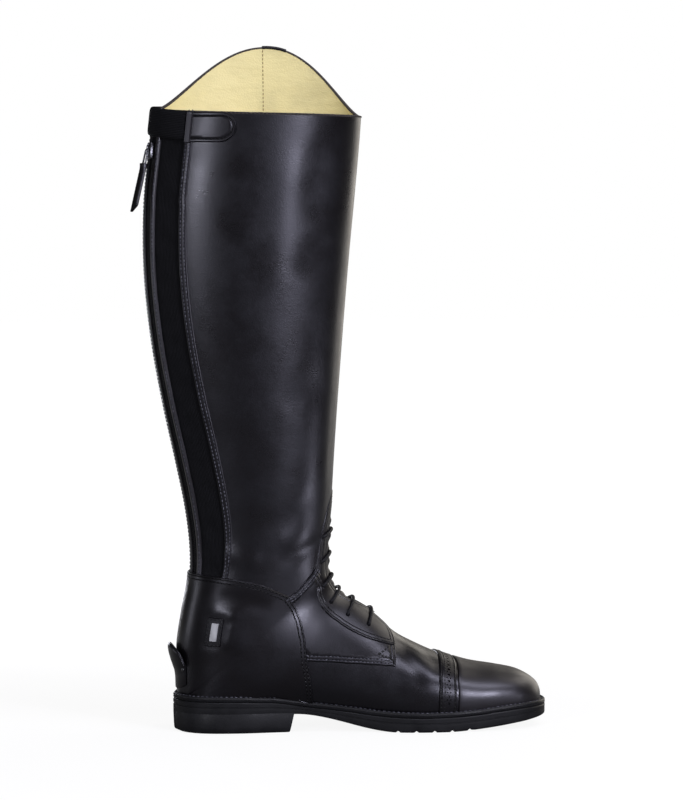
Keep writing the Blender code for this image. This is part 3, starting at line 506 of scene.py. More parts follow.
class Paint(NodeTree):
    """A procedural material with a Principled shader."""

    def __init__(self, name, **constants):
        self.material = bpy.data.materials.new(name)
        self.material.use_nodes = True
        super().__init__(self.material.node_tree)
        self.looks = bpy.context.scene.boot_finish
        self.shader = self.tree.nodes["Principled BSDF"]
        for socket, value in constants.items():
            self.shader.inputs[socket.replace("_", " ")].default_value = value

    def place(self, kind="Object"):
        return self.node("ShaderNodeTexCoord", {}, {}, kind)

    def axis(self, number, kind="Object"):
        """One coordinate of the place."""
        return self.node("ShaderNodeSeparateXYZ", {}, {0: self.place(kind)}, number)

    def stretched(self, scale):
        return self.node("ShaderNodeMapping", {}, {"Vector": self.place(), "Scale": scale})

    def noise(self, scale, detail, rough=0.5, vector=None):
        vector = vector or self.place()
        return self.node(
            "ShaderNodeTexNoise", {}, {"Vector": vector, "Scale": scale, "Detail": detail, "Roughness": rough}
        )

    def cells(self, scale):
        return self.node("ShaderNodeTexVoronoi", {}, {"Vector": self.place(), "Scale": scale})

    def waves(self, turns):
        """A sine that rises and falls once in each turn."""
        return self.node("ShaderNodeMath", {"operation": "SINE"}, {0: turns * (2.0 * np.pi)})

    def between(self, value, low, high, start=0.0, end=1.0):
        return self.node(
            "ShaderNodeMapRange", {"interpolation_type": "SMOOTHSTEP"},
            {"Value": value, "From Min": low, "From Max": high, "To Min": start, "To Max": end},
        )

    def mix(self, factor, first, second):
        return self.node("ShaderNodeMix", {"data_type": "RGBA"}, {0: factor, 6: first, 7: second}, 2)

    def bump(self, height, distance, strength):
        return self.node("ShaderNodeBump", {}, {"Height": height, "Distance": distance, "Strength": strength})

    def give(self, **sockets):
        for socket, value in sockets.items():
            self.feed(self.shader.inputs[socket.replace("_", " ")], value)
        return self.material


def finish(name, **constants):
    """Mark a function as the maker of a material: it runs once, and later calls find what it made."""

    def marked(make):
        def material():
            return bpy.data.materials.get(name) or make(Paint(name, **constants))

        return material

    return marked


def shaded(colour, factor):
    """A colour made paler or darker."""
    return tuple(factor * value for value in colour[:3]) + (1.0,)


LEATHER_COAT = {"Coat_Roughness": 0.28, "Coat_IOR": 1.4, "Specular_Tint": (0.91, 0.90, 1.0, 1.0)}
FIBRE_DEPTH = 0.1 * MM


def fibrous(paint, colour, fibres, rough, change=0.2, strength=0.4):
    """A matt finish whose fibres or twist show in its roughness and bump."""
    return paint.give(
        Base_Color=colour, Roughness=rough + fibres * change, Normal=paint.bump(fibres, FIBRE_DEPTH, strength)
    )


def leather(paint, gloss, warm_sheen, grain):
    """Black leather: fine grain, broken polish, random worn patches in a warmer colour, and a warm tint for
    each finish that is painted warm reflection.
    """
    pores = paint.cells(1150.0)
    fine = paint.noise(2600.0, 2.0)
    pebble = paint.noise(330.0, 3.0, 0.6)
    wear = paint.noise(34.0, 4.0, 0.6)
    lines = paint.noise(1.0, 3.0, 0.6, paint.stretched((120.0, 120.0, 620.0)))
    # Mix factor: random wear patches plus each finish's warm tint, which is painted warm reflection.
    shade = paint.between(wear, 0.35, 0.7, 0.0, 0.5) * 0.6 + warm_sheen
    height = pores * 0.3 + fine * 0.1 + lines * 0.25 + pebble * 0.25
    return paint.give(
        Base_Color=paint.mix(shade, paint.looks.leather_colour, paint.looks.leather_wear_and_sheen_colour),
        Roughness=paint.between(wear, 0.25, 0.75, 0.06, -0.06) + (0.49 - gloss) + (pebble - 0.5) * 0.06,
        Coat_Weight=wear * 0.12 + gloss * 0.5,
        Normal=paint.bump(height, paint.looks.grain_depth, grain),
    )


# Each finish: gloss, painted warm-reflection tint, grain.
@finish("shaft leather", Specular_IOR_Level=0.5, **LEATHER_COAT)
def shaft_leather(paint):
    return leather(paint, 0.17, 0.0, 0.52)


@finish("panel leather", Specular_IOR_Level=0.38, **LEATHER_COAT)
def panel_leather(paint):
    return leather(paint, 0.14, 0.15, 0.4)


@finish("polished leather", Specular_IOR_Level=0.65, **LEATHER_COAT)
def polished_leather(paint):
    return leather(paint, 0.09, 0.5, 0.26)


@finish("lining leather", Specular_IOR_Level=0.35)
def lining_leather(paint):
    cloudy = paint.noise(22.0, 4.0, 0.6)
    folds = paint.noise(1.0, 3.0, 0.55, paint.stretched((40.0, 40.0, 110.0)))
    base = paint.looks.lining_colour
    return paint.give(
        Base_Color=paint.mix(paint.between(cloudy, 0.35, 0.75), base, shaded(base, 0.82)),
        Roughness=0.55 + (cloudy - 0.5) * 0.2,
        Normal=paint.bump(paint.cells(900.0) * 0.2 + folds * 1.6, 1.0 * MM, 0.6),
    )


@finish("sole rubber", Specular_IOR_Level=0.3)
def sole_rubber(paint):
    dust = paint.noise(60.0, 5.0, 0.65)
    base = paint.looks.rubber_colour
    return paint.give(
        Base_Color=paint.mix(paint.between(dust, 0.5, 0.8, 0.0, 0.5), base, shaded(base, 2.4)),
        Roughness=paint.between(dust, 0.3, 0.7, 0.42, 0.6),
        Normal=paint.bump(paint.noise(1500.0, 2.0) + dust * 0.6, 0.2 * MM, 0.4),
    )


@finish("black elastic", Specular_IOR_Level=0.1)
def black_elastic(paint):
    """Ribbed by its own UV map: one rib for each step of U, running along V."""
    ribs = paint.waves(paint.axis(0, "UV"))
    weave = paint.noise(2400.0, 2.0)
    base = paint.looks.elastic_colour
    return paint.give(
        Base_Color=paint.mix(paint.between(ribs * 0.7 + weave, 0.2, 1.4), base, shaded(base, 2.0)),
        Roughness=0.78 + weave * 0.2,
        Normal=paint.bump(ribs * 0.5 + weave * 0.6, 0.4 * MM, 0.8),
    )


@finish("lace cord", Specular_IOR_Level=0.2)
def lace_cord(paint):
    """Braided by its own UV map: U round the cord and V along it, in braid steps."""
    around, along = paint.axis(0, "UV"), paint.axis(1, "UV")
    crossed = {0: paint.waves(around + along), 1: paint.waves(around - along)}
    braid = paint.node("ShaderNodeMath", {"operation": "MAXIMUM"}, crossed)
    base = paint.looks.cord_colour
    return paint.give(
        Base_Color=paint.mix(paint.between(braid, 0.0, 1.0), base, shaded(base, 2.6)),
        Roughness=0.5 + braid * 0.08,
        Normal=paint.bump(braid, 0.2 * MM, 0.7),
    )


@finish("black thread", Specular_IOR_Level=0.4)
def black_thread(paint):
    return fibrous(paint, paint.looks.thread_colour, paint.noise(1800.0, 1.0), 0.42)


@finish("pale glint thread", Specular_IOR_Level=0.3)
def pale_glint_thread(paint):
    """Dark thread with pale grey-blue flecks, partly worn thread and partly painted highlight for glints on
    the stitches.
    """
    variation = paint.noise(420.0, 2.0)
    colour = paint.mix(paint.between(variation, 0.35, 0.65), (0.03, 0.03, 0.04, 1.0), (0.12, 0.12, 0.145, 1.0))
    return fibrous(paint, colour, variation, 0.5)


@finish("tan thread", Specular_IOR_Level=0.3)
def tan_thread(paint):
    twist = paint.noise(1800.0, 1.0)
    colour = paint.mix(twist, (0.22, 0.15, 0.06, 1.0), (0.34, 0.25, 0.10, 1.0))
    return fibrous(paint, colour, twist, 0.6, 0.1)


@finish("cut edge", Specular_IOR_Level=0.2)
def cut_edge(paint):
    """The cut edge of the leather: matt, grey brown, a little fibrous."""
    fibres = paint.noise(900.0, 3.0, 0.6)
    colour = paint.mix(fibres, (0.030, 0.026, 0.025, 1.0), (0.075, 0.064, 0.058, 1.0))
    return fibrous(paint, colour, fibres, 0.7, strength=0.5)


@finish("bright metal", Metallic=1.0)
def bright_metal(paint):
    variation = paint.noise(1.0, 3.0, 0.6, paint.stretched((900.0, 900.0, 160.0)))
    return paint.give(
        Base_Color=paint.looks.metal_colour, Roughness=paint.between(variation, 0.3, 0.7, 0.24, 0.38),
        Normal=paint.bump(variation, 0.05 * MM, 0.3),
    )


@finish("satin plate", Specular_IOR_Level=0.6)
def satin_plate(paint):
    variation = paint.noise(1.0, 3.0, 0.6, paint.stretched((700.0, 700.0, 180.0)))
    return paint.give(
        Base_Color=paint.mix(variation, (0.34, 0.34, 0.35, 1.0), (0.62, 0.62, 0.64, 1.0)),
        Metallic=paint.between(variation, 0.2, 0.8, 0.35, 0.55),
        Roughness=paint.between(variation, 0.3, 0.7, 0.3, 0.45),
        Normal=paint.bump(variation, 0.08 * MM, 0.4),
    )


def select_only(made):
    bpy.ops.object.select_all(action="DESELECT")
    made.select_set(True)
    bpy.context.view_layer.objects.active = made


def in_edit(made, *steps):
    """Run edit-mode steps on everything in one mesh."""
    select_only(made)
    bpy.ops.object.mode_set(mode="EDIT")
    bpy.ops.mesh.select_all(action="SELECT")
    for step in steps:
        step()
    bpy.ops.object.mode_set(mode="OBJECT")


def added(name, add, **settings):
    """A new primitive or other object, added with everything else deselected."""
    bpy.ops.object.select_all(action="DESELECT")
    add(**settings)
    made = bpy.context.object
    made.name = made.data.name = name
    return made


def laid_grid(name, points):
    """A grid primitive whose points are laid at these places, row by row."""
    rows, columns = points.shape[:2]
    made = added(name, bpy.ops.mesh.primitive_grid_add, x_subdivisions=columns - 1, y_subdivisions=rows - 1)
    made.data.vertices.foreach_set("co", points.astype(np.float32).ravel())
    made.data.update()
    return made


def drop_faces(made, keep):
    """Delete the faces of a grid that a table of cells leaves out, and then loose points."""
    mesh = made.data
    select_only(made)
    mesh.vertices.foreach_set("select", np.zeros(len(mesh.vertices), bool))
    mesh.edges.foreach_set("select", np.zeros(len(mesh.edges), bool))
    mesh.polygons.foreach_set("select", ~keep.ravel())
    bpy.context.tool_settings.mesh_select_mode = (False, False, True)
    bpy.ops.object.mode_set(mode="EDIT")
    bpy.ops.mesh.delete(type="FACE")
    bpy.context.tool_settings.mesh_select_mode = (True, False, False)
    bpy.ops.object.mode_set(mode="OBJECT")


def weld(made, distance=0.01 * MM):
    in_edit(made, lambda: bpy.ops.mesh.remove_doubles(threshold=distance))


def face_out(made):
    in_edit(made, lambda: bpy.ops.mesh.normals_make_consistent(inside=False))


def applied(made, kind, **settings):
    """Add a modifier and apply it."""
    select_only(made)
    modifier = made.modifiers.new(kind, kind)
    for name, value in settings.items():
        setattr(modifier, name, value)
    bpy.ops.object.modifier_apply(modifier=modifier.name)


def set_uv(made, across, along):
    """Give a grid's corners their UV values, from tables that spread over its points."""
    corners = np.empty(len(made.data.loops), np.int32)
    made.data.loops.foreach_get("vertex_index", corners)
    values = np.stack(np.broadcast_arrays(across, along), axis=-1).reshape(-1, 2)[corners]
    made.data.uv_layers.active.data.foreach_set("uv", values.astype(np.float32).ravel())


def sheet(name, v, u, rise, thick, keep=None, uv=None):
    """A sheet laid on the surface at a height and given thickness inwards.

    `keep` is a table of the cells that stay, and `uv` holds tables of U and V.
    """
    points = laid(v, u, rise)
    made = laid_grid(name, points)
    if uv is not None:
        set_uv(made, *uv)
    if keep is not None:
        drop_faces(made, keep)
    weld(made)
    middle = made.data.polygons[len(made.data.polygons) // 2]
    nearest = np.argmin(np.linalg.norm(points.reshape(-1, 3) - np.array(middle.center), axis=1))
    if np.dot(np.array(middle.normal), normals(v, u).reshape(-1, 3)[nearest]) < 0:
        in_edit(made, bpy.ops.mesh.flip_normals)
    applied(made, "SOLIDIFY", thickness=thick, offset=-1.0)
    return made


def close_ends(made, fill=bpy.ops.mesh.edge_face_add):
    """Fill the open ends of a mesh."""
    in_edit(made, lambda: bpy.ops.mesh.select_all(action="DESELECT"), bpy.ops.mesh.select_non_manifold, fill)


def closed_grid(name, points, ends=False, distance=0.01 * MM):
    """A grid that meets itself all round, welded there, with its ends filled where they are open."""
    made = laid_grid(name, points)
    weld(made, distance)
    if ends:
        close_ends(made)
    face_out(made)
    return made


def done(made, material, body="boot", stands_for=(), angle=40.0):
    """Give a piece its finish, smooth shading and body, and hide the CAD parts it stands for."""
    made.data.materials.append(material)
    select_only(made)
    bpy.ops.object.shade_smooth_by_angle(angle=np.radians(angle))
    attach(made, body)
    if stands_for:
        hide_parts(*stands_for)


def made_mesh(name, points, faces):
    """A new object from points and faces."""
    mesh = bpy.data.meshes.new(name)
    mesh.from_pydata(np.asarray(points).tolist(), [], faces)
    made = bpy.data.objects.new(name, mesh)
    bpy.context.scene.collection.objects.link(made)
    return made


# Edge of a panel: distance in from its outline and share of its height, with a dip for each row of stitches
ROW_STEPS = (1.7 * MM, 4.2 * MM)
DIP_HALF = 0.5 * MM
DIP_SHARE = 0.76


def dip(step):
    return ((step - DIP_HALF, 1.0), (step, DIP_SHARE), (step + DIP_HALF, 1.0))


PLAIN_EDGE = ((0.3 * MM, 0.78), (0.8 * MM, 1.0))
ONE_ROW = PLAIN_EDGE + dip(ROW_STEPS[0])
TWO_ROWS = ONE_ROW + dip(ROW_STEPS[1])
EDGE_START = 0.35
EDGE_PITCH = 0.9 * MM
EDGE_NEAR = 0.88
EDGE_FAR = 1.15
CROSSING_SHARE = 0.9
FIELD_SPACING = 2.4 * MM
FIELD_CLEAR = 0.45
FIELD_SAMPLES = 240
SUNK_STITCH = 0.22 * MM
PANEL_SINK = -0.4 * MM
HOLE_SIDES = 10
HOLE_CLEAR = 1.25
FLAT_SCALE = np.array([15.0, 120.0])


def gaps_to(tree, points):
    return np.array([tree.find(point)[2] for point in points])


def inner_field(loop, tree, spacing, reach):
    """Places spread evenly inside a loop, clear of its rounded edge."""
    along = np.linalg.norm(slopes(*loop.T)[0], axis=1)
    low, high = loop.min(axis=0), loop.max(axis=0)
    rows = max(int(np.ceil((high[0] - low[0]) * along.max() / spacing)), 2)
    places = []
    for number, v in enumerate(np.linspace(low[0], high[0], rows + 1)[1:-1]):
        line = np.linspace(low[1], high[1], FIELD_SAMPLES)
        lengths = lengths_along(surface(v, line))
        stops = np.arange(0.5 * spacing * (1 + number % 2), lengths[-1], spacing)
        places.append(np.stack([np.full(stops.shape, v), np.interp(stops, lengths, line)], axis=1))
    places = np.vstack(places)
    places = places[inside(loop, places)]
    clear = gaps_to(tree, surface(*places.T)) > reach + FIELD_CLEAR * spacing
    return places[clear]


def hole_loop(place, radius):
    """A ring of places round one place."""
    place = np.asarray(place, float)
    out = normals(place[0], place[1])
    aside = unit(np.cross(out, np.array([0.2, 0.1, 1.0])))
    above = np.cross(out, aside)
    turn = np.linspace(0.0, 2.0 * np.pi, HOLE_SIDES, endpoint=False)[:, None]
    moves = radius * (np.cos(turn) * aside + np.sin(turn) * above)
    return stepped(np.repeat(place[None], HOLE_SIDES, axis=0), moves)


def ring_pairs(count):
    """Neighbours round a closed ring of points."""
    return [(number, (number + 1) % count) for number in range(count)]


def edge_parts(loop, tree, edge):
    """A loop and the rings inside it that follow its edge: places, share of the height, and neighbours."""
    inward = 1.0 if inside(loop, moved(loop, edge[0][0], True)).mean() > 0.5 else -1.0
    parts = [(loop, EDGE_START, ring_pairs(len(loop)))]
    for distance, share in edge:
        ring = moved(loop, inward * distance, True)
        gaps = gaps_to(tree, surface(*ring.T)) / distance
        kept = np.nonzero(inside(loop, ring) & (gaps > EDGE_NEAR) & (gaps < EDGE_FAR))[0]
        pairs = [(number, number + 1) for number in np.nonzero(np.diff(kept) == 1)[0].tolist()]
        parts.append((ring[kept], share, pairs))
    return parts


def triangles(parts):
    """Places, shares of the height and triangles over all the parts, with neighbours kept joined."""
    places = np.vstack([part[0] for part in parts])
    shares = np.concatenate([np.full(len(part[0]), part[1]) for part in parts])
    pairs = []
    start = 0
    for part in parts:
        pairs += [(start + first, start + second) for first, second in part[2]]
        start += len(part[0])
    flat, _, faces, origins, _, _ = delaunay_2d_cdt(
        [Vector(place * FLAT_SCALE) for place in places], pairs, [], 1, 1e-5
    )
    numbers = np.array([origin[0] if origin else -1 for origin in origins])
    known = numbers >= 0
    all_places = np.array(flat) / FLAT_SCALE
    all_places[known] = places[numbers[known]]
    all_shares = np.where(known, shares[numbers], CROSSING_SHARE)
    return all_places, all_shares, np.array([face for face in faces if len(face) == 3])


def panel(name, loop, height, holes=(), spacing=FIELD_SPACING, edge=PLAIN_EDGE):
    """A closed leather piece on the surface inside a loop, with a rounded edge and punched holes.

    `height` is a number or a function of v and u; each hole is a place and a radius.
    """
    loop = spaced(loop, EDGE_PITCH, closed=True)
    tree = KDTree(len(loop))
    for number, point in enumerate(surface(*loop.T)):
        tree.insert(point, number)
    tree.balance()
    field = inner_field(loop, tree, spacing, edge[-1][0])
    for place, radius in holes:
        field = field[np.linalg.norm(surface(*field.T) - surface(*place), axis=1) > HOLE_CLEAR * radius]
    rings = [hole_loop(place, radius) for place, radius in holes]
    parts = edge_parts(loop, tree, edge) + [(field, edge[-1][1], [])]
    parts += [(ring, 1.0, ring_pairs(HOLE_SIDES)) for ring in rings]
    places, shares, faces = triangles(parts)
    middles = places[faces].mean(axis=1)
    keep = np.ones(len(faces), bool)
    for ring in rings:
        keep &= ~inside(ring, middles)
    return closed_piece(name, places, shares, faces[keep], height)


def closed_piece(name, places, shares, faces, height):
    """A solid from triangles on the surface: raised above, sunk below, and walled along its open edges."""
    v, u = places.T
    rise = height(v, u) if callable(height) else height
    top = laid(v, u, PANEL_SINK + (rise - PANEL_SINK) * shares)
    bottom = laid(v, u, PANEL_SINK)
    count = len(places)
    pairs = np.vstack([faces[:, [0, 1]], faces[:, [1, 2]], faces[:, [2, 0]]])
    known = {(int(start), int(end)) for start, end in pairs}
    walls = [[start, start + count, end + count, end] for start, end in known if (end, start) not in known]
    solid = faces.tolist() + (faces[:, ::-1] + count).tolist() + walls
    made = made_mesh(name, np.vstack([top, bottom]), solid)
    weld(made, 0.002 * MM)
    face_out(made)
    return made


def turns_along(points, out, closed=False):
    """Turns that lay balls along a path of points, each with its own axis along the path."""
    run = runs_along(points, closed)
    aside = unit(np.cross(out, run))
    return np.stack([aside, np.cross(run, aside), run], axis=2)


def stitch_row(path, height, closed=False, inward=False):
    """Middles and turns of the stitches along a path."""
    path = spaced(path, bpy.context.scene.boot_sizes.stitch_pitch, closed)
    points = laid(*path.T, height(*path.T) if callable(height) else height)
    out = normals(*path.T) * (-1.0 if inward else 1.0)
    return points, turns_along(points, out, closed)


def rows_beside(path, height, side=1.0, steps=ROW_STEPS):
    """Rows of stitches at these steps to one side of a path."""
    return [stitch_row(moved(path, side * step), height) for step in steps]


def balls(name, size, middles, turns, segments=6, rings=4):
    """Small balls of one size, drawn out, as one mesh: one for each middle and turn."""
    ball = added(
        "ball", bpy.ops.mesh.primitive_uv_sphere_add, segments=segments, ring_count=rings, radius=1.0
    )
    points = np.array([vertex.co[:] for vertex in ball.data.vertices]) * size
    faces = [np.array(face.vertices) for face in ball.data.polygons]
    bpy.data.meshes.remove(ball.data)
    placed = np.einsum("nij,kj->nki", turns, points) + middles[:, None]
    starts = len(points) * np.arange(len(middles))
    all_faces = [(face + start).tolist() for start in starts for face in faces]
    made = made_mesh(name, placed.reshape(-1, 3), all_faces)
    face_out(made)
    return made


def stitches(name, rows, material=None):
    """A joined mesh of stitches along several rows."""
    sizes = bpy.context.scene.boot_sizes
    size = (0.5 * sizes.stitch_width, 0.4 * sizes.stitch_width, 0.5 * sizes.stitch_length)
    middles, turns = (np.vstack(part) for part in zip(*rows))
    done(balls(name, size, middles, turns), material or black_thread())


def up_to_rim(lower, columns, rim_rows):
    """Section numbers and places of a grid: these numbers first, and then rows that close up to the rim.

    `columns` gives the places round a section.
    """
    places = [columns(v) for v in lower]
    numbers = [np.full(places[0].shape, v) for v in lower]
    rim_places = columns(RIM_SECTION)
    rim = rows_at(rim_places, rim_height(rim_places))
    for step in range(1, rim_rows + 1):
        numbers.append(SHAFT_END + (rim - SHAFT_END) * step / rim_rows)
        places.append(rim_places)
    return np.array(numbers), np.array(places)


def upper_columns(v):
    """Places round a section at which the upper's grid has its columns: fixed distances at front and back."""
    sides = []
    for _, side in SIDES:
        shares, lengths = girth(v, side)
        front = np.array(FRONT_STEPS) * min(1.0, lengths[-1] / FRONT_REACH)
        back = lengths[-1] - np.array(BACK_STEPS) * min(1.0, lengths[-1] / BACK_REACH)
        middle = np.linspace(front[-1], back[0], MIDDLE_STEPS + 1)[1:-1]
        sides.append(side * np.interp(np.concatenate([front, middle, back]), lengths, shares))
    return np.concatenate([sides[0][::-1], sides[1][1:]])


def kept_cells(v, throat_half, throat_from):
    """Which cells of the upper's grid are kept: not the throat, nor the slot of the zip and the elastic."""
    middle = 0.5 * (v[:-1, :-1] + v[1:, 1:])
    keep = np.ones(middle.shape, bool)
    front = middle.shape[1] // 2
    throat = FRONT_STEPS.index(throat_half)
    cells = slice(front - throat, front + throat)
    keep[:, cells] = (middle[:, cells] < throat_from) | (middle[:, cells] > ANKLE_END)
    first, last = (len(BACK_STEPS) - 1 - BACK_STEPS.index(step) for step in (SLOT_NEAR, SLOT_FAR))
    keep[:, first:last] = middle[:, first:last] < SLOT_FROM
    return keep


UPPER_THICK = 1.6 * MM
LINING_THICK = 0.7 * MM


def build_upper():
    v, u = up_to_rim(stretches(*UPPER_ROWS), upper_columns, RIM_ROWS)
    made = sheet("upper", v, u, 0.0, UPPER_THICK, kept_cells(v, THROAT_HALF, THROAT_FROM))
    done(made, shaft_leather(), stands_for=("upper",))
    keep = kept_cells(v, LINING_THROAT_HALF, LINING_THROAT_FROM)
    lining = sheet("upper_lining", v, u, -UPPER_THICK, LINING_THICK, keep)
    done(lining, lining_leather())


# Welt and sole
WELT_THICK = 3.5 * MM
WELT_SIT = 0.3 * MM
BREAST_X = 50.0 * MM
FLAT_FROM = 130.0 * MM
FLAT_TO = 162.0 * MM
SOLE_TIP = 243.6 * MM
HEEL_HEIGHT = 13.6 * MM
TOE_SPRING = 9.5 * MM
RIB_FROM = 116.0 * MM
RIB_PITCH = 13.0 * MM
RIB_WIDTH = 9.6 * MM
RIB_DEPTH = 1.2 * MM
RIB_COUNT = 5
RIB_FLANK = 1.5 * MM
RIB_CREST = 0.3 * MM
SOLE_NUMBERS = np.linspace(0.0, HEEL_ROW, 200)
EDGE_LOOK = 0.05
EDGE_END = 0.02


def sole_height(x):
    """Height of the outsole's top."""
    row = section(SOLE_NUMBERS)
    return np.interp(x, row["back_x"][::-1], row["back_z"][::-1]) - WELT_SIT


def sole_bottom(x):
    """Height of the outsole's underside: level at the heel, then arch, flat ball and toe spring."""
    arch = held((FLAT_FROM - x) / (FLAT_FROM - BREAST_X))
    toe = held((x - FLAT_TO) / (SOLE_TIP - FLAT_TO))
    return HEEL_HEIGHT * eased(arch) + TOE_SPRING * toe**1.5


def ribbed_bottom(x):
    """Underside of the outsole with ribs across it from the shank to the toe."""
    place = (x - RIB_FROM) / RIB_PITCH
    along = (place - np.floor(place)) * RIB_PITCH
    ribbed = (place > -1e-6) & (place < RIB_COUNT - 1e-6)
    groove = held((along - RIB_WIDTH) / RIB_FLANK)
    groove *= held((RIB_PITCH - along) / RIB_FLANK)
    return sole_bottom(x) + np.where(ribbed, RIB_DEPTH * groove, 0.0)


def section_under(x):
    """Section number whose sole point lies at x."""
    return np.interp(-x, -section(SOLE_NUMBERS)["back_x"], SOLE_NUMBERS)


def sole_edge(v, reach):
    """Plan points of both sole edges beside each section, moved out by a reach in millimetres."""
    edges = []
    for _, side in SIDES:
        ahead = surface(np.minimum(v + EDGE_LOOK, HEEL_ROW), side)
        behind = surface(np.maximum(v - EDGE_LOOK, 0.0), side)
        run = (ahead - behind)[:, :2]
        out = unit(np.stack([run[:, 1], -run[:, 0]], axis=1) * side)
        out[v < EDGE_END] = (1.0, 0.0)
        out[v > HEEL_ROW - EDGE_END] = (-1.0, 0.0)
        edges.append(surface(v, side)[:, :2] + out * reach * MM)
    return edges


def sole_block(name, v, profile, low, high):
    """A solid with the plan of the sole.

    `profile` runs up the side as (reach, share of the height); low and high give the heights at x.
    """
    foot = low(section(v)["back_x"])
    rings = np.array([
        [np.column_stack([plan, foot + (high(plan[:, 0]) - foot) * share]) for plan in sole_edge(v, reach)]
        for reach, share in profile
    ])
    medial, lateral = rings.swapaxes(0, 1)
    shares = np.linspace(0.0, 1.0, 9)[:, None, None]
    under = medial[0] + (lateral[0] - medial[0]) * shares
    over = lateral[-1] + (medial[-1] - lateral[-1]) * shares
    ring = np.concatenate([under, lateral[1:-1], over, medial[-2::-1]])
    return closed_grid(name, np.moveaxis(ring, 0, 1))


OUTSOLE_PROFILE = (
    (4.1, 0.0), (4.6, 0.05), (4.8, 0.14), (4.8, 0.56), (4.3, 0.59), (4.3, 0.64), (4.8, 0.67), (4.9, 0.93),
    (4.4, 1.0),
)
HEEL_PROFILE = ((2.6, 0.0), (3.5, 0.03), (4.1, 0.11), (4.4, 0.3), (4.85, 1.0), (4.0, 1.0))
HEEL_LAP = 1.6 * MM
BREAST_LEAN = 3.0 * MM
BREAST_REACH = 14.0 * MM
SOLE_STRETCHES = ((0.0, 2.0, 26), (2.0, 9.0, 60), (9.0, HEEL_ROW, 60))
SOLE_ANGLE = 32.0
HEEL_BEVEL = 0.9 * MM
HEEL_BEVEL_ANGLE = np.radians(55.0)
INSOLE_PROFILE = ((-3.6, 0.0), (-3.6, 0.7), (-4.4, 1.0))
INSOLE_LOW = 0.3 * MM
INSOLE_HIGH = 3.3 * MM


def build_outsole():
    steps = (0.0, RIB_CREST, RIB_WIDTH - RIB_CREST, RIB_WIDTH, RIB_WIDTH + RIB_FLANK, RIB_PITCH - RIB_FLANK)
    edges = [RIB_FROM + rib * RIB_PITCH + step for rib in range(RIB_COUNT) for step in steps]
    even = stretches(*SOLE_STRETCHES)
    v = np.unique(np.round(np.concatenate([even, section_under(np.array(edges))]), 4))
    made = sole_block("outsole", v, OUTSOLE_PROFILE, ribbed_bottom, sole_height)
    done(made, sole_rubber(), stands_for=("outsole",), angle=SOLE_ANGLE)


def build_heel():
    v = np.linspace(section_under(BREAST_X), HEEL_ROW, 70)
    made = sole_block("heel", v, HEEL_PROFILE, lambda x: 0.0 * x, lambda x: HEEL_HEIGHT + HEEL_LAP + 0.0 * x)
    close_ends(made)
    for vertex in made.data.vertices:
        near_breast = held((vertex.co.x - BREAST_X + BREAST_REACH) / BREAST_REACH)
        vertex.co.x -= BREAST_LEAN * near_breast * (1.0 - vertex.co.z / HEEL_HEIGHT)
    applied(made, "BEVEL", width=HEEL_BEVEL, segments=2, limit_method="ANGLE", angle_limit=HEEL_BEVEL_ANGLE)
    face_out(made)
    done(made, sole_rubber(), stands_for=("heel",), angle=SOLE_ANGLE)


def build_insole():
    v = np.linspace(0.0, HEEL_ROW, 90)
    made = sole_block(
        "insole", v, INSOLE_PROFILE,
        lambda x: sole_height(x) + INSOLE_LOW, lambda x: sole_height(x) + INSOLE_HIGH,
    )
    done(made, lining_leather(), stands_for=("insole",))


WELT_PROFILE = (
    (1.0, 0.0), (4.4, 0.0), (4.8, 0.12), (4.9, 0.35), (4.5, 0.42), (4.5, 0.5), (4.9, 0.57), (4.8, 0.84),
    (4.4, 1.0), (3.4, 1.06), (2.7, 0.9), (1.9, 0.9), (1.2, 1.05), (0.2, 1.12), (-1.6, 1.1),
)
WELT_STRETCHES = ((0.0, 2.0, 30), (2.0, HEEL_ROW, 130))
WELT_ROW = (3.5, 1.08)
WELT_ROW_PITCH = 3.6 * MM


def welt_line(v, reach, share):
    """Points along the welt from the toe by the medial side to the heel and back by the lateral side."""
    medial, lateral = sole_edge(v, reach)
    plan = np.vstack([medial, lateral[::-1][1:]])
    return np.column_stack([plan, sole_height(plan[:, 0]) + WELT_SIT + WELT_THICK * share])


def build_welt():
    """The welt all round on the outsole, with its grooved top and a row of stitches in grey-flecked thread,
    partly worn and partly painted highlight.
    """
    v = stretches(*WELT_STRETCHES)
    rings = [welt_line(v, *row) for row in WELT_PROFILE + WELT_PROFILE[:1]]
    made = closed_grid("welt", np.moveaxis(np.array(rings), 0, 1))
    done(made, sole_rubber(), stands_for=("welt",), angle=45.0)
    line = welt_line(v, *WELT_ROW)
    lengths = lengths_along(line)
    middles = at_lengths(np.arange(0.0, lengths[-1], WELT_ROW_PITCH), lengths, line)
    stitches("welt_stitches", [(middles, turns_along(middles, UP))], pale_glint_thread())


# Panels: seam lines as (x, z) in millimetres, alike on both sides of the boot
COUNTER_EDGE = (
    (64.9, 20.2), (62.4, 38.0), (59.4, 54.0), (57.9, 71.5), (53.4, 88.5), (46.5, 100.0),
    (43.0, 103.0), (21.9, 111.9), (-3.4, 116.3), (-22.4, 118.2),
)
QUARTER_LOW = ((125.2, 48.5), (110.0, 49.9), (92.0, 51.2), (76.0, 52.4), (59.3, 53.2))
QUARTER_FRONT = ((123.0, 72.0), (126.4, 65.9), (126.7, 56.0))
QUARTER_HIDDEN = ((52.0, 60.0), (48.0, 76.0), (44.0, 92.0))
QUARTER_UNDER = ((72.0, 112.0), (80.0, 96.0), (94.0, 82.0), (110.0, 74.0))
BAR_TACK = (((113.6, 57.6), (120.4, 61.6)), ((113.6, 57.2), (123.0, 53.0)))
SHAFT_SEAM = ((44.0, 100.5), (50.2, 103.3), (61.0, 113.2), (67.0, 121.0))
FACING_FRONT = ((112.6, 84.3), (118.5, 79.0), (123.6, 73.4), (126.2, 67.0))
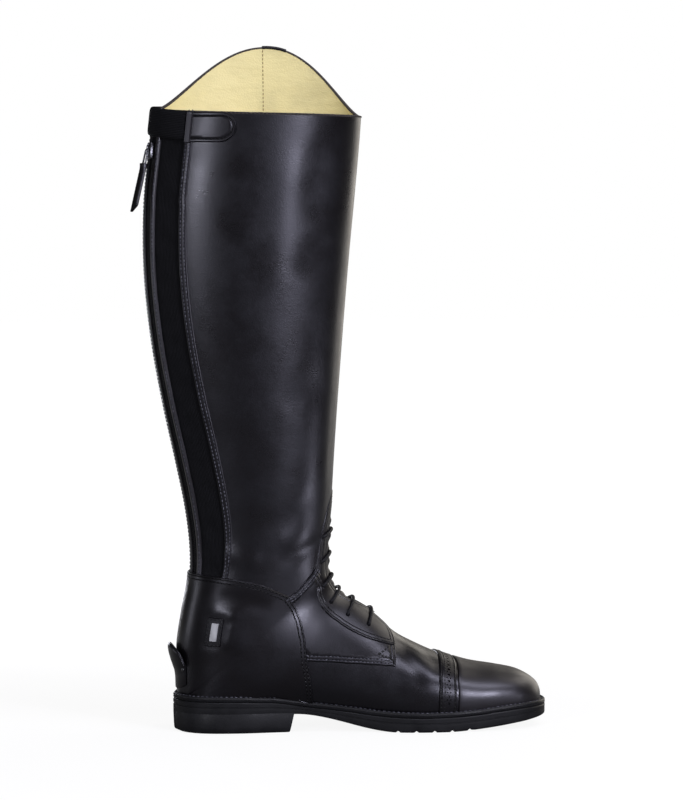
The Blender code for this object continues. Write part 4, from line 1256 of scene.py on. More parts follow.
FACING_LOW = ((125.4, 62.7), (113.3, 65.6), (100.0, 70.6), (86.9, 77.9), (73.8, 88.2))
FACING_BACK = ((69.0, 97.0), (67.2, 109.0), (67.6, 120.0), (69.6, 131.0), (73.0, 151.9))
COUNTER_THICK = 1.9 * MM
QUARTER_THICK = 1.0 * MM
FACING_THICK = 1.9 * MM
FACING_FLUSH = 0.5 * MM
FACING_FADE = (92.0 * MM, 116.0 * MM)
CAP_THICK = 1.4 * MM
CAP_SEAM = 4.55
BAND_SEAM = 5.2
BAND_SIDE_SWEEP = 0.14
BAND_SWEEP_FROM = 0.35
GROOVE = 0.035
CAP_STRETCHES = ((0.0, 1.0, 16), (1.0, 4.0, 30))
CAP_LAST_ROWS = (0.25, 0.5, 0.75, 0.9, 0.97, 1.0)
CAP_ROUND = (0.85, 0.45)
BAND_ROWS = (0.075, 0.19)
HOLE_PITCH = 5.4 * MM
HOLE_MARGIN = 10.0 * MM
LARGE_HOLE = 1.05 * MM
SMALL_HOLE = 0.5 * MM
SMALL_HOLES_APART = 1.25 * MM
FINE_SPACING = 1.6 * MM


def welt_place(v, side, above=2.0 * MM):
    """Place round a section at a height above the welt's foot."""
    shares = np.linspace(0.05, 1.0, 240)
    points = surface(v, side * shares)
    return side * shares[points[:, 2] - sole_height(points[:, 0]) >= above][-1]


def seam_across(number):
    """Places along a seam across the toes, from the medial to the lateral welt, swept back at the sides."""
    u = np.linspace(*[welt_place(number + BAND_SIDE_SWEEP, side) for _, side in SIDES], 121)
    sweep = BAND_SIDE_SWEEP * held(np.abs(u) / BAND_SWEEP_FROM) ** 1.5
    return np.column_stack([number + sweep, u])


def band_holes():
    """Places and sizes of the punched holes along the band: one large hole between pairs of small ones."""
    middle = spaced(seam_across(0.5 * (CAP_SEAM + BAND_SEAM)), 0.5 * MM)
    lengths = lengths_along(surface(*middle.T))
    count = int((lengths[-1] - HOLE_MARGIN) / HOLE_PITCH)
    stops = 0.5 * (lengths[-1] - (count - 1) * HOLE_PITCH) + HOLE_PITCH * np.arange(count)
    holes = [(place, LARGE_HOLE) for place in at_lengths(stops, lengths, middle)]
    between = at_lengths(stops + 0.5 * HOLE_PITCH, lengths, middle)
    steps = SMALL_HOLES_APART / np.linalg.norm(slopes(*between.T)[0], axis=1)
    for place, step in zip(between, steps):
        holes += [(place + np.array([sign * step, 0.0]), SMALL_HOLE) for sign in (-1.0, 1.0)]
    return holes


def build_toe_cap():
    """The polished toe cap and, behind it, the punched band that laps over the vamp."""
    seam = seam_across(CAP_SEAM - GROOVE)
    lines = []
    for v in stretches(*CAP_STRETCHES):
        across = np.linspace(welt_place(v, -1.0), welt_place(v, 1.0), len(seam))
        lines.append(np.column_stack([np.full(len(seam), v), across]))
    lines += [lines[-1] + (seam - lines[-1]) * share for share in CAP_LAST_ROWS]
    v, u = np.moveaxis(np.array(lines), -1, 0)
    rise = np.full(v.shape, CAP_THICK)
    rise[-2:] *= np.array(CAP_ROUND)[:, None]
    made = sheet("toe_cap", v, u, rise, CAP_THICK)
    done(made, polished_leather(), stands_for=("toe_cap",))
    loop = np.vstack([seam_across(CAP_SEAM + GROOVE), seam_across(BAND_SEAM)[::-1]])
    band = panel("toe_band", loop, CAP_THICK, band_holes(), spacing=FINE_SPACING, edge=ONE_ROW)
    done(band, panel_leather())
    rows = [
        stitch_row(seam_across(BAND_SEAM - BAND_ROWS[0]), CAP_THICK - SUNK_STITCH),
        stitch_row(seam_across(BAND_SEAM - BAND_ROWS[1]), CAP_THICK + 0.05 * MM),
        stitch_row(seam_across(CAP_SEAM + GROOVE + BAND_ROWS[0]), CAP_THICK - SUNK_STITCH),
    ]
    stitches("toe_stitches", rows)


COUNTER_FOOT_END = 14.12
COUNTER_FOOT_RISE = 1.2 * MM
HEEL_SOFT_LOW = (-45.0 * MM, 27.0 * MM)
HEEL_SOFT_HIGH = (22.0 * MM, 62.0 * MM)
HEEL_SOFT_EDGE = 10.0 * MM


def soften(made, low, high, edge):
    """Smooth the part of a piece between two corners (x, z), less within an edge of them."""
    group = made.vertex_groups.new(name="soft")
    for vertex in made.data.vertices:
        x, _, z = vertex.co
        weight = min(min(x - low[0], high[0] - x, z - low[1], high[1] - z) / edge, 1.0)
        if weight > 0.0:
            group.add([vertex.index], weight, "REPLACE")
    applied(made, "SMOOTH", factor=0.5, iterations=60, vertex_group="soft")
    made.vertex_groups.clear()


def past_back(places):
    """Medial places counted on from the back instead of from the front."""
    return np.column_stack([places[:, 0], np.where(places[:, 1] < 0, places[:, 1] + 2.0, places[:, 1])])


def build_counter():
    """The heel counter, in one piece round the back, with two rows of stitches along its seam."""
    edges, feet = [], []
    for _, side in SIDES:
        edge = past_back(on_side(COUNTER_EDGE, side))
        rows = np.linspace(edge[0, 0] + 0.03, COUNTER_FOOT_END, 60)
        edges.append(edge)
        feet.append(past_back(np.array([(v, welt_place(v, side, COUNTER_FOOT_RISE)) for v in rows])))
    medial, lateral = edges
    crown = np.array([[ANKLE_END + 0.02, 1.0]])
    loop = np.vstack([lateral, crown, medial[::-1], feet[0], feet[1][::-1]])
    made = panel("heel_counter", loop, COUNTER_THICK, edge=TWO_ROWS)
    soften(made, HEEL_SOFT_LOW, HEEL_SOFT_HIGH, HEEL_SOFT_EDGE)
    done(made, panel_leather(), stands_for=("heel_counter",))
    seam = np.vstack([lateral[2:], crown, medial[:1:-1]])
    stitches("counter_stitches", rows_beside(seam, COUNTER_THICK - SUNK_STITCH, -1.0))


LAP_WIDTH = 15.0 * MM
LAP_FADE = 14.0 * MM
LAP_THICK = 1.9 * MM
LAP_SINK = 0.25 * MM
TACK_STEPS = (-0.35 * MM, 0.35 * MM)
TACK_PROUD = 0.15 * MM


def lap_height(seam):
    """Height of the shaft's edge over the quarter: full at the seam, nothing some way above it."""
    line = surface(*seam.T)

    def height(v, u):
        points = surface(np.asarray(v), np.asarray(u))
        apart = np.min(np.linalg.norm(points[:, None] - line[None], axis=2), axis=1)
        fade = held(1.0 - apart / LAP_FADE)
        return LAP_THICK * eased(fade) - LAP_SINK * (1.0 - fade)

    return height


def build_quarters():
    """The quarter on each side, lapped over the vamp, with a double-stitched lower seam and a bar tack."""
    # Some rows are in the grey-flecked thread, whose flecks are partly painted highlight.
    rows, pale_thread_rows = [], []
    sunk = QUARTER_THICK - SUNK_STITCH
    for name, side in SIDES:
        front, low, hidden, seam, under = (
            on_side(line, side)
            for line in (QUARTER_FRONT, QUARTER_LOW, QUARTER_HIDDEN, SHAFT_SEAM, QUARTER_UNDER)
        )
        loop = np.vstack([front, low, hidden, seam, under])
        made = panel(f"quarter_{name}", loop, QUARTER_THICK, edge=TWO_ROWS)
        done(made, panel_leather())
        pale_thread_rows += rows_beside(low[2:], sunk, side)
        rows += rows_beside(front[10:], sunk, side)
        for arm in BAR_TACK:
            rows += rows_beside(on_side(arm, side), QUARTER_THICK + TACK_PROUD, steps=TACK_STEPS)
        lap = np.vstack([seam, moved(seam, side * LAP_WIDTH)[::-1]])
        strip = panel(f"shaft_lap_{name}", lap, lap_height(seam), edge=TWO_ROWS)
        done(strip, shaft_leather())
        pale_thread_rows += rows_beside(seam, lap_height(seam), side)
    stitches("quarter_stitches", rows)
    stitches("quarter_pale_thread_stitches", pale_thread_rows, pale_glint_thread())


LACE_TABLE = ((8.4, 25.0), (9.5, 25.0), (10.9, 23.0), (12.5, 21.0), (14.7, 20.0), (16.5, 20.0))
EYELET_RADIUS = 1.7 * MM
FACING_CROWN = (18.0, 0.0)
FACING_SPACING = 2.2 * MM
THROAT_EDGE = ((8.25, 1.6), (9.0, 4.2), (10.5, 7.0), (13.0, 8.4), (16.0, 8.6), (17.3, 7.2), (17.9, 3.4))
ARCH_TOP = ((17.2, 21.0), (17.75, 17.5), (18.2, 12.0), (18.42, 6.0), (18.48, 0.0))


def front_path(table, side):
    """Places along a line of (section number, distance from the front)."""
    return np.array([(v, from_front(v, side * distance)[0]) for v, distance in smooth_line(table, 6)])


def facing_height(v, u):
    """Height of the facing: over the quarter below, on the bare shaft above."""
    z = surface(np.asarray(v), np.asarray(u))[:, 2]
    share = held((z - FACING_FADE[0]) / (FACING_FADE[1] - FACING_FADE[0]))
    return FACING_THICK + (FACING_FLUSH - FACING_THICK) * share


def build_facings():
    """The facing round the lacing, in one piece over the arch, with punched eyelets."""
    outer, inner = [], []
    for _, side in SIDES:
        edge = on_side(FACING_FRONT + FACING_LOW + FACING_BACK, side)
        outer.append(np.vstack([edge, front_path(ARCH_TOP, side)[2:]]))
        inner.append(front_path(THROAT_EDGE, side))
    loop = np.vstack([outer[0], outer[1][-2::-1], inner[1], [FACING_CROWN], inner[0][::-1]])
    holes = []
    for v, reach in LACE_TABLE:
        holes += [(np.array([v, from_front(v, side * reach)[0]]), EYELET_RADIUS) for _, side in SIDES]
    made = panel("facings", loop, facing_height, holes, spacing=FACING_SPACING, edge=TWO_ROWS)
    done(made, panel_leather())
    rows = []
    for (_, side), edge, throat in zip(SIDES, outer, inner):
        rows += rows_beside(edge, sunk_facing, side)
        rows += rows_beside(throat, sunk_facing, -side, ROW_STEPS[:1])
    stitches("facing_stitches", rows)


def sunk_facing(v, u):
    """Height of the stitches, which lie in the facing's dips."""
    return facing_height(v, u) - SUNK_STITCH


def back_places(line):
    """Places on the top of the shaft from distances round from the back, in millimetres, and heights."""
    distances, heights = np.array(line).T
    return at_heights(from_back(RIM_SECTION, distances), heights)


# Tongue and lace
TONGUE_ROWS = (7.5, 18.6)
TONGUE_HALF = 24.0
TONGUE_PUFFED = (7.9, 17.9)
TONGUE_FADES = (0.6, 0.9)
TONGUE_DEEP = 7.0 * MM
TONGUE_UNDER = 2.8 * MM
TONGUE_PUFF = 8.0 * MM
TONGUE_THICK = 1.6 * MM
TONGUE_SPREAD = 9.0
TONGUE_FOLDS = ((0.55 * MM, 5.6, 0.16, 0.0), (0.4 * MM, 3.1, -0.25, 1.0))
PRESS_HALF = 0.3
PRESS_DEPTH = 0.6 * MM


def build_tongue():
    """The soft tongue: puffed up in the throat, pressed down under each lace bar and creased between."""
    rows = np.linspace(*TONGUE_ROWS, 150)
    distances = np.linspace(-TONGUE_HALF, TONGUE_HALF, 65)
    u = np.array([from_front(number, distances) for number in rows])
    v = np.broadcast_to(rows[:, None], u.shape)
    ends = held((TONGUE_PUFFED[1] - v) / TONGUE_FADES[1])
    ends = ends * held((v - TONGUE_PUFFED[0]) / TONGUE_FADES[0])
    across = np.exp(-((distances / TONGUE_SPREAD) ** 2))[None, :]
    folds = sum(
        depth * np.sin(up * v + aside * distances + start) for depth, up, aside, start in TONGUE_FOLDS
    )
    press = sum(np.exp(-(((v - bar) / PRESS_HALF) ** 2)) for bar, _ in LACE_TABLE)
    lift = TONGUE_DEEP - TONGUE_UNDER
    rise = -TONGUE_DEEP + across * (lift + ends * (TONGUE_PUFF - lift + folds - PRESS_DEPTH * press))
    made = sheet("tongue", v, u, rise, TONGUE_THICK)
    done(made, polished_leather(), stands_for=("tongue",))


LACE_INSIDE = -4.2 * MM
LACE_BEHIND = -4.6 * MM
LACE_SIDES = 10
BRAID_STEP = 2.6 * MM


def lace_point(v, distance, height):
    return laid(v, from_front(v, distance)[0], height)


def lace_bar(number, side):
    """Points of one bar, from the inside of its eyelet on one side to the inside of the other."""
    v, reach = LACE_TABLE[number]
    radius = bpy.context.scene.boot_sizes.lace_radius
    above = facing_height([v], from_front(v, reach))[0] + radius
    steps = [(-reach + 0.2, LACE_INSIDE), (-reach - 0.1, -0.6 * MM), (-reach + 0.6, above - 0.9 * radius)]
    steps += [(share * (reach - 2.6), above - 0.3 * MM) for share in np.linspace(-1.0, 1.0, 9)]
    steps += [(-distance, height) for distance, height in steps[2::-1]]
    return [lace_point(v, -side * distance, height) for distance, height in steps]


def lace_run(first, second, side):
    """Points behind the facing between two eyelets on one side."""
    start, end = np.array(LACE_TABLE[first]), np.array(LACE_TABLE[second])
    places = start + (end - start) * np.linspace(0.0, 1.0, 7)[1:-1, None]
    return [lace_point(v, side * reach, LACE_BEHIND) for v, reach in places]


def lace_route():
    """The whole lace: from the lowest bar one half goes up by every second bar and one by the others."""
    one = lace_bar(0, -1.0) + lace_run(0, 1, -1.0) + lace_bar(1, 1.0) + lace_run(1, 3, 1.0)
    one += lace_bar(3, -1.0) + lace_run(3, 5, -1.0) + lace_bar(5, 1.0)
    other = lace_run(0, 2, 1.0) + lace_bar(2, -1.0) + lace_run(2, 4, -1.0) + lace_bar(4, 1.0)
    other += lace_run(4, 5, 1.0)
    return smooth_line(other[::-1] + one, 4)


def cord(name, path, radius):
    """A round cord along a path, closed at its ends, with braid steps in its UV map."""
    run = runs_along(path, False)
    aside = np.empty_like(run)
    aside[0] = unit(np.cross(run[0], np.array([0.3, 0.2, 1.0])))
    for number in range(1, len(run)):
        last = aside[number - 1]
        aside[number] = unit(last - run[number] * np.dot(last, run[number]))
    above = np.cross(run, aside)
    turn = np.linspace(0.0, 2.0 * np.pi, LACE_SIDES + 1)
    size = np.full(len(path), radius)
    size[[0, -1]] = 1e-7
    ring = np.cos(turn)[None, :, None] * aside[:, None] + np.sin(turn)[None, :, None] * above[:, None]
    made = laid_grid(name, path[:, None] + size[:, None, None] * ring)
    set_uv(made, 3.0 * turn / (2.0 * np.pi), (lengths_along(path) / BRAID_STEP)[:, None])
    weld(made)
    face_out(made)
    return made


def build_lace():
    made = cord("lace", lace_route(), bpy.context.scene.boot_sizes.lace_radius)
    bars = tuple(f"lace_bar_{number}" for number in range(1, len(LACE_TABLE) + 1))
    done(made, lace_cord(), stands_for=bars, angle=60.0)


# Closures up the back: distances from the back line towards the medial side and heights, in millimetres
ZIP_MIDDLE = 12.1
TAPE_PROFILE = ((5.0, -1.0), (24.4, -1.0))
NEAR_EDGE_PROFILE = ((2.2, -0.2), (2.6, 0.45), (3.4, 0.75), (6.6, 0.85), (8.0, 0.75), (8.7, 0.3), (8.9, -0.9))
CHAIN_EDGE_PROFILE = (
    (15.3, -0.9), (15.5, 0.3), (16.2, 1.0), (17.6, 1.25), (19.0, 1.0), (19.8, 0.3), (20.0, -0.9),
)
GUSSET_PROFILE = ((19.8, -0.9), (23.0, -0.7), (28.0, -1.3), (33.0, -1.5), (38.0, -1.3), (43.4, -0.8))
PANEL_EDGE_PROFILE = (
    (41.9, -0.8), (42.2, 0.2), (42.9, 0.8), (45.0, 0.95), (47.6, 0.8), (48.3, 0.35), (48.6, -0.2),
)
ZIP_STITCHES = ((3.6, 0.85 * MM), (18.9, 1.1 * MM))
PANEL_EDGE_STITCHES = ((43.9, 1.0 * MM), (46.6, 1.0 * MM))
TAPE_COLUMNS = 17
GUSSET_COLUMNS = 25
TAPE_THICK = 0.6 * MM
EDGE_THICK = 0.5 * MM
GUSSET_THICK = 1.0 * MM
TOOTH_SIZE = np.array([1.3, 0.62, 0.7]) * MM
TOOTH_ROWS = ((-1.0, 0.0), (1.0, 0.5))
TOOTH_SINK = -0.35 * MM
TEETH_TOP = 438.0 * MM
TOOTH_PITCH = 1.7 * MM
RIB_STEP = 1.25
SLACK = 0.35 * MM
BACK_ROWS = 190
BACK_RIM_ROWS = 22


def shaft_places(distances):
    """Section numbers and places of a strip up the back, from the ankle to the rim."""
    lower = np.linspace(SLOT_FROM - 0.1, SHAFT_END, BACK_ROWS)
    return up_to_rim(lower, lambda v: from_back(v, distances), BACK_RIM_ROWS)


def slack(v, u):
    """Soft bulges of the elastic up the back."""
    z = surface(v, u)[..., 2] / MM
    return SLACK * (np.sin(z / 3.1) * np.sin(z / 11.0) + 0.6 * np.sin(z / 5.3 + 40.0 * u))


def back_strip(name, profile, thick, columns=0, bulge=None):
    """A strip up the back with this profile across it, and a UV map in ribs."""
    distances, heights = np.array(profile).T
    if columns:
        fine = np.linspace(distances[0], distances[-1], columns)
        distances, heights = fine, np.interp(fine, distances, heights)
    v, u = shaft_places(distances)
    rise = np.broadcast_to(heights * MM, v.shape)
    if bulge:
        across = (distances - distances[0]) / (distances[-1] - distances[0])
        rise = rise + bulge(v, u) * np.sin(np.pi * across)
    uv = (distances / RIB_STEP, laid(v, u)[..., 2] / (RIB_STEP * MM))
    return sheet(name, v, u, rise, thick, uv=uv)


def back_path(distance, high=np.inf):
    """Places up the shaft at one distance from the back, below a height."""
    v, u = shaft_places([distance])
    path = np.column_stack([v[:, 0], u[:, 0]])
    return path[surface(*path.T)[:, 2] < high]


def build_teeth():
    """Two rows of teeth, half a pitch apart."""
    middles, turns = [], []
    for offset, start in TOOTH_ROWS:
        path = spaced(back_path(ZIP_MIDDLE + offset, TEETH_TOP), TOOTH_PITCH)
        path = path[:-1] + start * np.diff(path, axis=0)
        at, out = laid(*path.T, TOOTH_SINK), normals(*path.T)
        run = runs_along(at, False)
        middles.append(at)
        turns.append(np.stack([unit(np.cross(run, out)), run, out], axis=2))
    teeth = balls("zip_teeth", TOOTH_SIZE, np.vstack(middles), np.vstack(turns))
    done(teeth, black_thread(), angle=60.0)


def build_zip():
    """The zip's tapes and teeth, and the leather edges on each side of it."""
    tape = back_strip("zip_tape", TAPE_PROFILE, TAPE_THICK, TAPE_COLUMNS)
    done(tape, black_elastic(), stands_for=("zip",))
    done(back_strip("zip_edge", NEAR_EDGE_PROFILE, EDGE_THICK), panel_leather())
    done(back_strip("zip_piping", CHAIN_EDGE_PROFILE, EDGE_THICK), polished_leather())
    build_teeth()
    rows = [stitch_row(back_path(distance), height) for distance, height in ZIP_STITCHES]
    # The zip's stitches are in the grey-flecked thread, partly painted highlight.
    stitches("zip_stitches", rows, pale_glint_thread())


def build_gusset():
    """The ribbed elastic, slack between its edges, and the double-stitched edge of the medial panel."""
    gusset = back_strip("elastic_gusset", GUSSET_PROFILE, GUSSET_THICK, GUSSET_COLUMNS, slack)
    done(gusset, black_elastic(), stands_for=("elastic_gusset",))
    done(back_strip("panel_edge", PANEL_EDGE_PROFILE, TAPE_THICK), panel_leather())
    rows = [stitch_row(back_path(distance), height) for distance, height in PANEL_EDGE_STITCHES]
    # These stitches are in the grey-flecked thread, partly painted highlight.
    stitches("panel_edge_stitches", rows, pale_glint_thread())


# Collar band and snap tab
BAND_SPAN = (-34.0, 43.6)
BAND_LOW = 441.0 * MM
BAND_HIGH = 462.6 * MM
BAND_PROUD = 2.6 * MM
BAND_BACK_RISE = 1.0 * MM
BAND_DROP = 3.4 * MM
BAND_LEAST = 0.08
BAND_SQUARE = 7
BAND_END = 1.2
COLLAR_THICK = 1.4 * MM
TAB_SPAN = (43.0, 80.0)
TAB_LOW = 437.5 * MM
TAB_HIGH = 459.5 * MM
TAB_ROUND = 11.0
TAB_PROUD = 2.4 * MM
TAB_ROW = 2.5 * MM
TAB_DIP = 0.6 * MM
FOLD_SPAN = (42.6, 47.6)
FOLD_PAST = 0.6 * MM
FOLD_PROUD = 3.4 * MM
BAND_SHARES = (0.0, 0.02, 0.06, 0.12, 0.2, 0.3, 0.4, 0.5, 0.6, 0.7, 0.8, 0.88, 0.94, 0.98, 1.0)
TAB_EDGE = PLAIN_EDGE + ((1.8 * MM, 1.0), (2.5 * MM, 0.66), (3.4 * MM, 0.86))


def build_collar():
    """The wide elastic across the back at the top."""
    distances = np.linspace(*BAND_SPAN, 70)
    shares = np.array(BAND_SHARES)
    arc = held(1.0 - np.abs(2.0 * shares - 1.0) ** BAND_SQUARE)
    fullness = BAND_LEAST + (1.0 - BAND_LEAST) * np.sqrt(arc)
    heights = BAND_LOW + (BAND_HIGH - BAND_LOW) * shares
    u = from_back(RIM_SECTION, distances)
    drops = BAND_BACK_RISE - BAND_DROP * held(distances / BAND_SPAN[1])
    v = np.array([rows_at(u, height + drops) for height in heights])
    ends = np.clip(np.minimum(distances - BAND_SPAN[0], BAND_SPAN[1] - distances) / BAND_END, 0.1, 1.0)
    rise = BAND_PROUD * fullness[:, None] * ends
    uv = ((heights / MM / RIB_STEP)[:, None], distances / RIB_STEP)
    made = sheet("collar_band", v, np.broadcast_to(u, v.shape), rise, COLLAR_THICK, uv=uv)
    done(made, black_elastic(), stands_for=("collar_band",))


def tab_loop():
    """The outline of the snap tab, round at its front end."""
    near, far = TAB_SPAN
    turn = np.linspace(-0.5 * np.pi, 0.5 * np.pi, 25)
    half = 0.5 * (TAB_HIGH - TAB_LOW)
    middle = 0.5 * (TAB_HIGH + TAB_LOW)
    line = [(near, TAB_LOW), (0.5 * (near + far - TAB_ROUND), TAB_LOW)]
    line += [(far - TAB_ROUND + TAB_ROUND * np.cos(angle), middle + half * np.sin(angle)) for angle in turn]
    line += [(0.5 * (near + far - TAB_ROUND), TAB_HIGH), (near, TAB_HIGH), (near, middle)]
    return back_places(line)


def build_snap_tab():
    """The leather tab that closes the top, stitched round its edge, with a folded strip at its back end."""
    loop = tab_loop()
    made = panel("snap_tab", loop, TAB_PROUD, spacing=FINE_SPACING, edge=TAB_EDGE)
    done(made, panel_leather(), stands_for=("snap_tab",))
    low, high = TAB_LOW - FOLD_PAST, TAB_HIGH + FOLD_PAST
    near, far = FOLD_SPAN
    corners = ((near, low), (far, low), (far, high), (near, high))
    fold = panel("snap_tab_fold", back_places(corners), FOLD_PROUD)
    done(fold, polished_leather())
    row = moved(spaced(loop, 1.0 * MM, True), TAB_ROW, True)
    stitches("snap_tab_stitches", [stitch_row(row, TAB_PROUD - TAB_DIP, True)])


# Side strip, rim and lining seam
STRIP_PLACE = 0.4445
STRIP_HALF = 9.2
STRIP_LENGTH = 110.0 * MM
STRIP_PROUD = 1.5 * MM
RIM_PROFILE = (
    (0.05, -1.2), (0.15, -0.8), (0.2, -0.3), (0.05, 0.15), (-0.6, 0.35), (-1.6, 0.35), (-2.4, 0.2),
    (-2.6, -0.2), (-2.6, -0.7), (-2.5, -1.0), (-2.1, -1.1), (-1.2, -1.1),
)
WRAP_PROFILE = (
    (0.3, -3.0), (1.5, -2.8), (1.75, -1.0), (1.5, 0.4), (0.6, 1.0), (-1.6, 1.1), (-2.6, 0.7), (-2.95, 0.0),
    (-2.95, -0.7), (-2.5, -1.3), (-1.2, -1.6),
)
RIM_STRETCHES = ((-1.0, 0.0, 110), (0.0, 1.0, 170))
RIM_ROW_SPAN = (-0.62, 0.98)
RIM_ROW_DROP = 0.4 * MM
RIM_ROW_PROUD = 0.25 * MM
SEAM_TOP_DROP = 3.0 * MM
SEAM_FOOT = 330.0 * MM
LINING_SEAM = 0.478
LINING_SEAM_LEAN = 0.33


def strip_place(offsets):
    """Places round the rim's section, in millimetres aside from the strip's middle on the lateral side."""
    shares, lengths = girth(RIM_SECTION, 1.0)
    return np.interp(np.interp(STRIP_PLACE, shares, lengths) + np.asarray(offsets), lengths, shares)


def build_side_strip():
    """The narrow strip down from the peak on the lateral side, stitched along its edges."""
    turn = np.linspace(np.pi, 2.0 * np.pi, 21)
    u = strip_place(STRIP_HALF * np.concatenate([[-1.0], np.cos(turn), [1.0]]))
    foot = rim_height(strip_place(0.0)) - STRIP_LENGTH + STRIP_HALF * MM * (1.0 + np.sin(turn))
    heights = np.concatenate([rim_height(u[:1]), foot, rim_height(u[-1:])])
    loop = at_heights(u, heights)
    made = panel("side_strip", loop, STRIP_PROUD, edge=ONE_ROW)
    done(made, panel_leather(), stands_for=("side_strip",))
    rows = rows_beside(spaced(loop, 1.0 * MM), STRIP_PROUD - SUNK_STITCH, steps=ROW_STEPS[:1])
    stitches("side_strip_stitches", rows)


def over_rim(name, u, profile):
    """A piece that lies over the rim with this profile: millimetres out from the surface, and up."""
    v = rows_at(u, rim_height(u))
    at, out = laid(v, u), normals(v, u)
    up = unit(np.cross(out, unit(np.gradient(at, axis=0))))
    up *= np.sign(up[:, 2:3])
    points = np.array([at + (out * aside + up * rise) * MM for aside, rise in profile + profile[:1]])
    return closed_grid(name, np.moveaxis(points, 0, 1), True, 0.05 * MM)


def build_rim():
    """The cut edge all round the rim, the strip's end over it, its stitches, and the seam of the lining."""
    u = stretches(*RIM_STRETCHES)
    done(over_rim("rim_edge", u, RIM_PROFILE), cut_edge(), angle=60.0)
    wrap = over_rim("side_strip_end", strip_place(np.linspace(-STRIP_HALF, STRIP_HALF, 15)), WRAP_PROFILE)
    done(wrap, panel_leather(), angle=50.0)
    near = u[(u > RIM_ROW_SPAN[0]) & (u < RIM_ROW_SPAN[1])]
    low = at_heights(near, rim_height(near) - RIM_ROW_DROP)
    stitches("rim_stitches", [stitch_row(low, RIM_ROW_PROUD)])
    heights = np.linspace(rim_height(LINING_SEAM) - SEAM_TOP_DROP, SEAM_FOOT, 60)
    places = LINING_SEAM - LINING_SEAM_LEAN * (heights[0] - heights)
    row = stitch_row(at_heights(places, heights), -UPPER_THICK - LINING_THICK - 0.05 * MM, inward=True)
    stitches("lining_stitches", [row], tan_thread())


# Spur rest and spur patches
# Outline of the spur rest: section number and millimetres out, up its outside and down into its notch
REST_PROFILE = (
    (14.42, 1.9), (14.45, 2.3), (14.8, 2.6), (15.0, 3.2), (15.14, 4.2), (15.4, 6.0), (15.64, 7.5),
    (15.8, 8.2), (15.88, 8.3), (15.95, 7.9), (15.98, 7.0), (15.97, 6.0), (15.91, 5.1), (15.8, 4.4),
    (15.6, 3.3), (15.4, 2.4), (15.3, 1.9), (15.28, 1.5), (14.42, 1.5),
)
REST_NOTCH = 15.08
REST_HALF = 18.5
REST_FOOT = 1.6
REST_END = 0.35
RIVET_SIZE = np.array([1.7, 1.7, 0.8]) * MM
RIVET_ROW = 14.98
RIVET_ASIDE = (15.5, -15.5)
RIVET_PROUD = 2.5 * MM
PATCH_MIDDLE = (-8.6, 75.8)
PATCH_LEAN = 0.14
FRAME_HALF = (5.8, 11.0)
FRAME_ROW_HALF = (4.4, 9.4)
FRAME_TOP = COUNTER_THICK + 1.3 * MM
PLATE_HALF = (2.8, 7.3)
PLATE_TOP = COUNTER_THICK + 1.9 * MM
PLATE_SPACING = 1.2 * MM


def build_spur_rest():
    """The ledge at the back of the heel: a moulded lip that leans out."""
    distances = np.linspace(REST_HALF, -REST_HALF, 41)
    profile = np.array(REST_PROFILE + REST_PROFILE[:1])
    taper = np.sqrt(held(1.0 - (distances / REST_HALF) ** 2))
    lip = np.maximum(profile[:, :1] - REST_NOTCH, 0.0)
    v = np.minimum(profile[:, :1], REST_NOTCH) + lip * taper
    u = np.array([[from_back(number, distance)[0] for number, distance in zip(row, distances)] for row in v])
    rise = (REST_FOOT + (profile[:, 1:] - REST_FOOT) * (REST_END + (1.0 - REST_END) * taper)) * MM
    made = closed_grid("spur_rest", laid(v, u, rise), True)
    done(made, panel_leather(), stands_for=("spur_rest",), angle=50.0)


def build_rivets():
    """A small bright rivet at each side of the spur rest."""
    u = from_back(RIVET_ROW, RIVET_ASIDE)
    out = normals(RIVET_ROW, u)
    aside = unit(np.cross(out, UP))
    turns = np.stack([aside, np.cross(out, aside), out], axis=2)
    rivets = balls("spur_rest_rivets", RIVET_SIZE, laid(RIVET_ROW, u, RIVET_PROUD), turns, 12, 8)
    done(rivets, bright_metal(), angle=60.0)


def patch_loop(half, side, corner=2.0):
    """A leaning rectangle with round corners on one side of the counter."""
    starts = 0.5 * np.pi * np.arange(4)[:, None]
    turn = (starts + np.linspace(0.0, 0.5 * np.pi, 6)).ravel()
    diagonal = np.repeat(starts + 0.25 * np.pi, 6)
    along = np.sign(np.cos(diagonal)) * (half[0] - corner) + corner * np.cos(turn)
    up = np.sign(np.sin(diagonal)) * (half[1] - corner) + corner * np.sin(turn)
    x = PATCH_MIDDLE[0] + along + PATCH_LEAN * up
    z = PATCH_MIDDLE[1] + up - 0.5 * PATCH_LEAN * along
    return np.array([side_place(*place, side) for place in zip(x * MM, z * MM)])


def build_patches():
    """A stitched leather frame on each side of the counter with a plain pale plate in it."""
    rows = []
    for name, side in SIDES:
        made = panel(f"patch_frame_{name}", patch_loop(FRAME_HALF, side), FRAME_TOP, spacing=FINE_SPACING)
        done(made, panel_leather())
        rows.append(stitch_row(patch_loop(FRAME_ROW_HALF, side), FRAME_TOP, True))
        loop = patch_loop(PLATE_HALF, side, 1.0)
        plate = panel(f"spur_patch_{name}", loop, PLATE_TOP, spacing=PLATE_SPACING)
        done(plate, satin_plate(), stands_for=(f"spur_patch_{name}",))
    stitches("patch_stitches", rows)


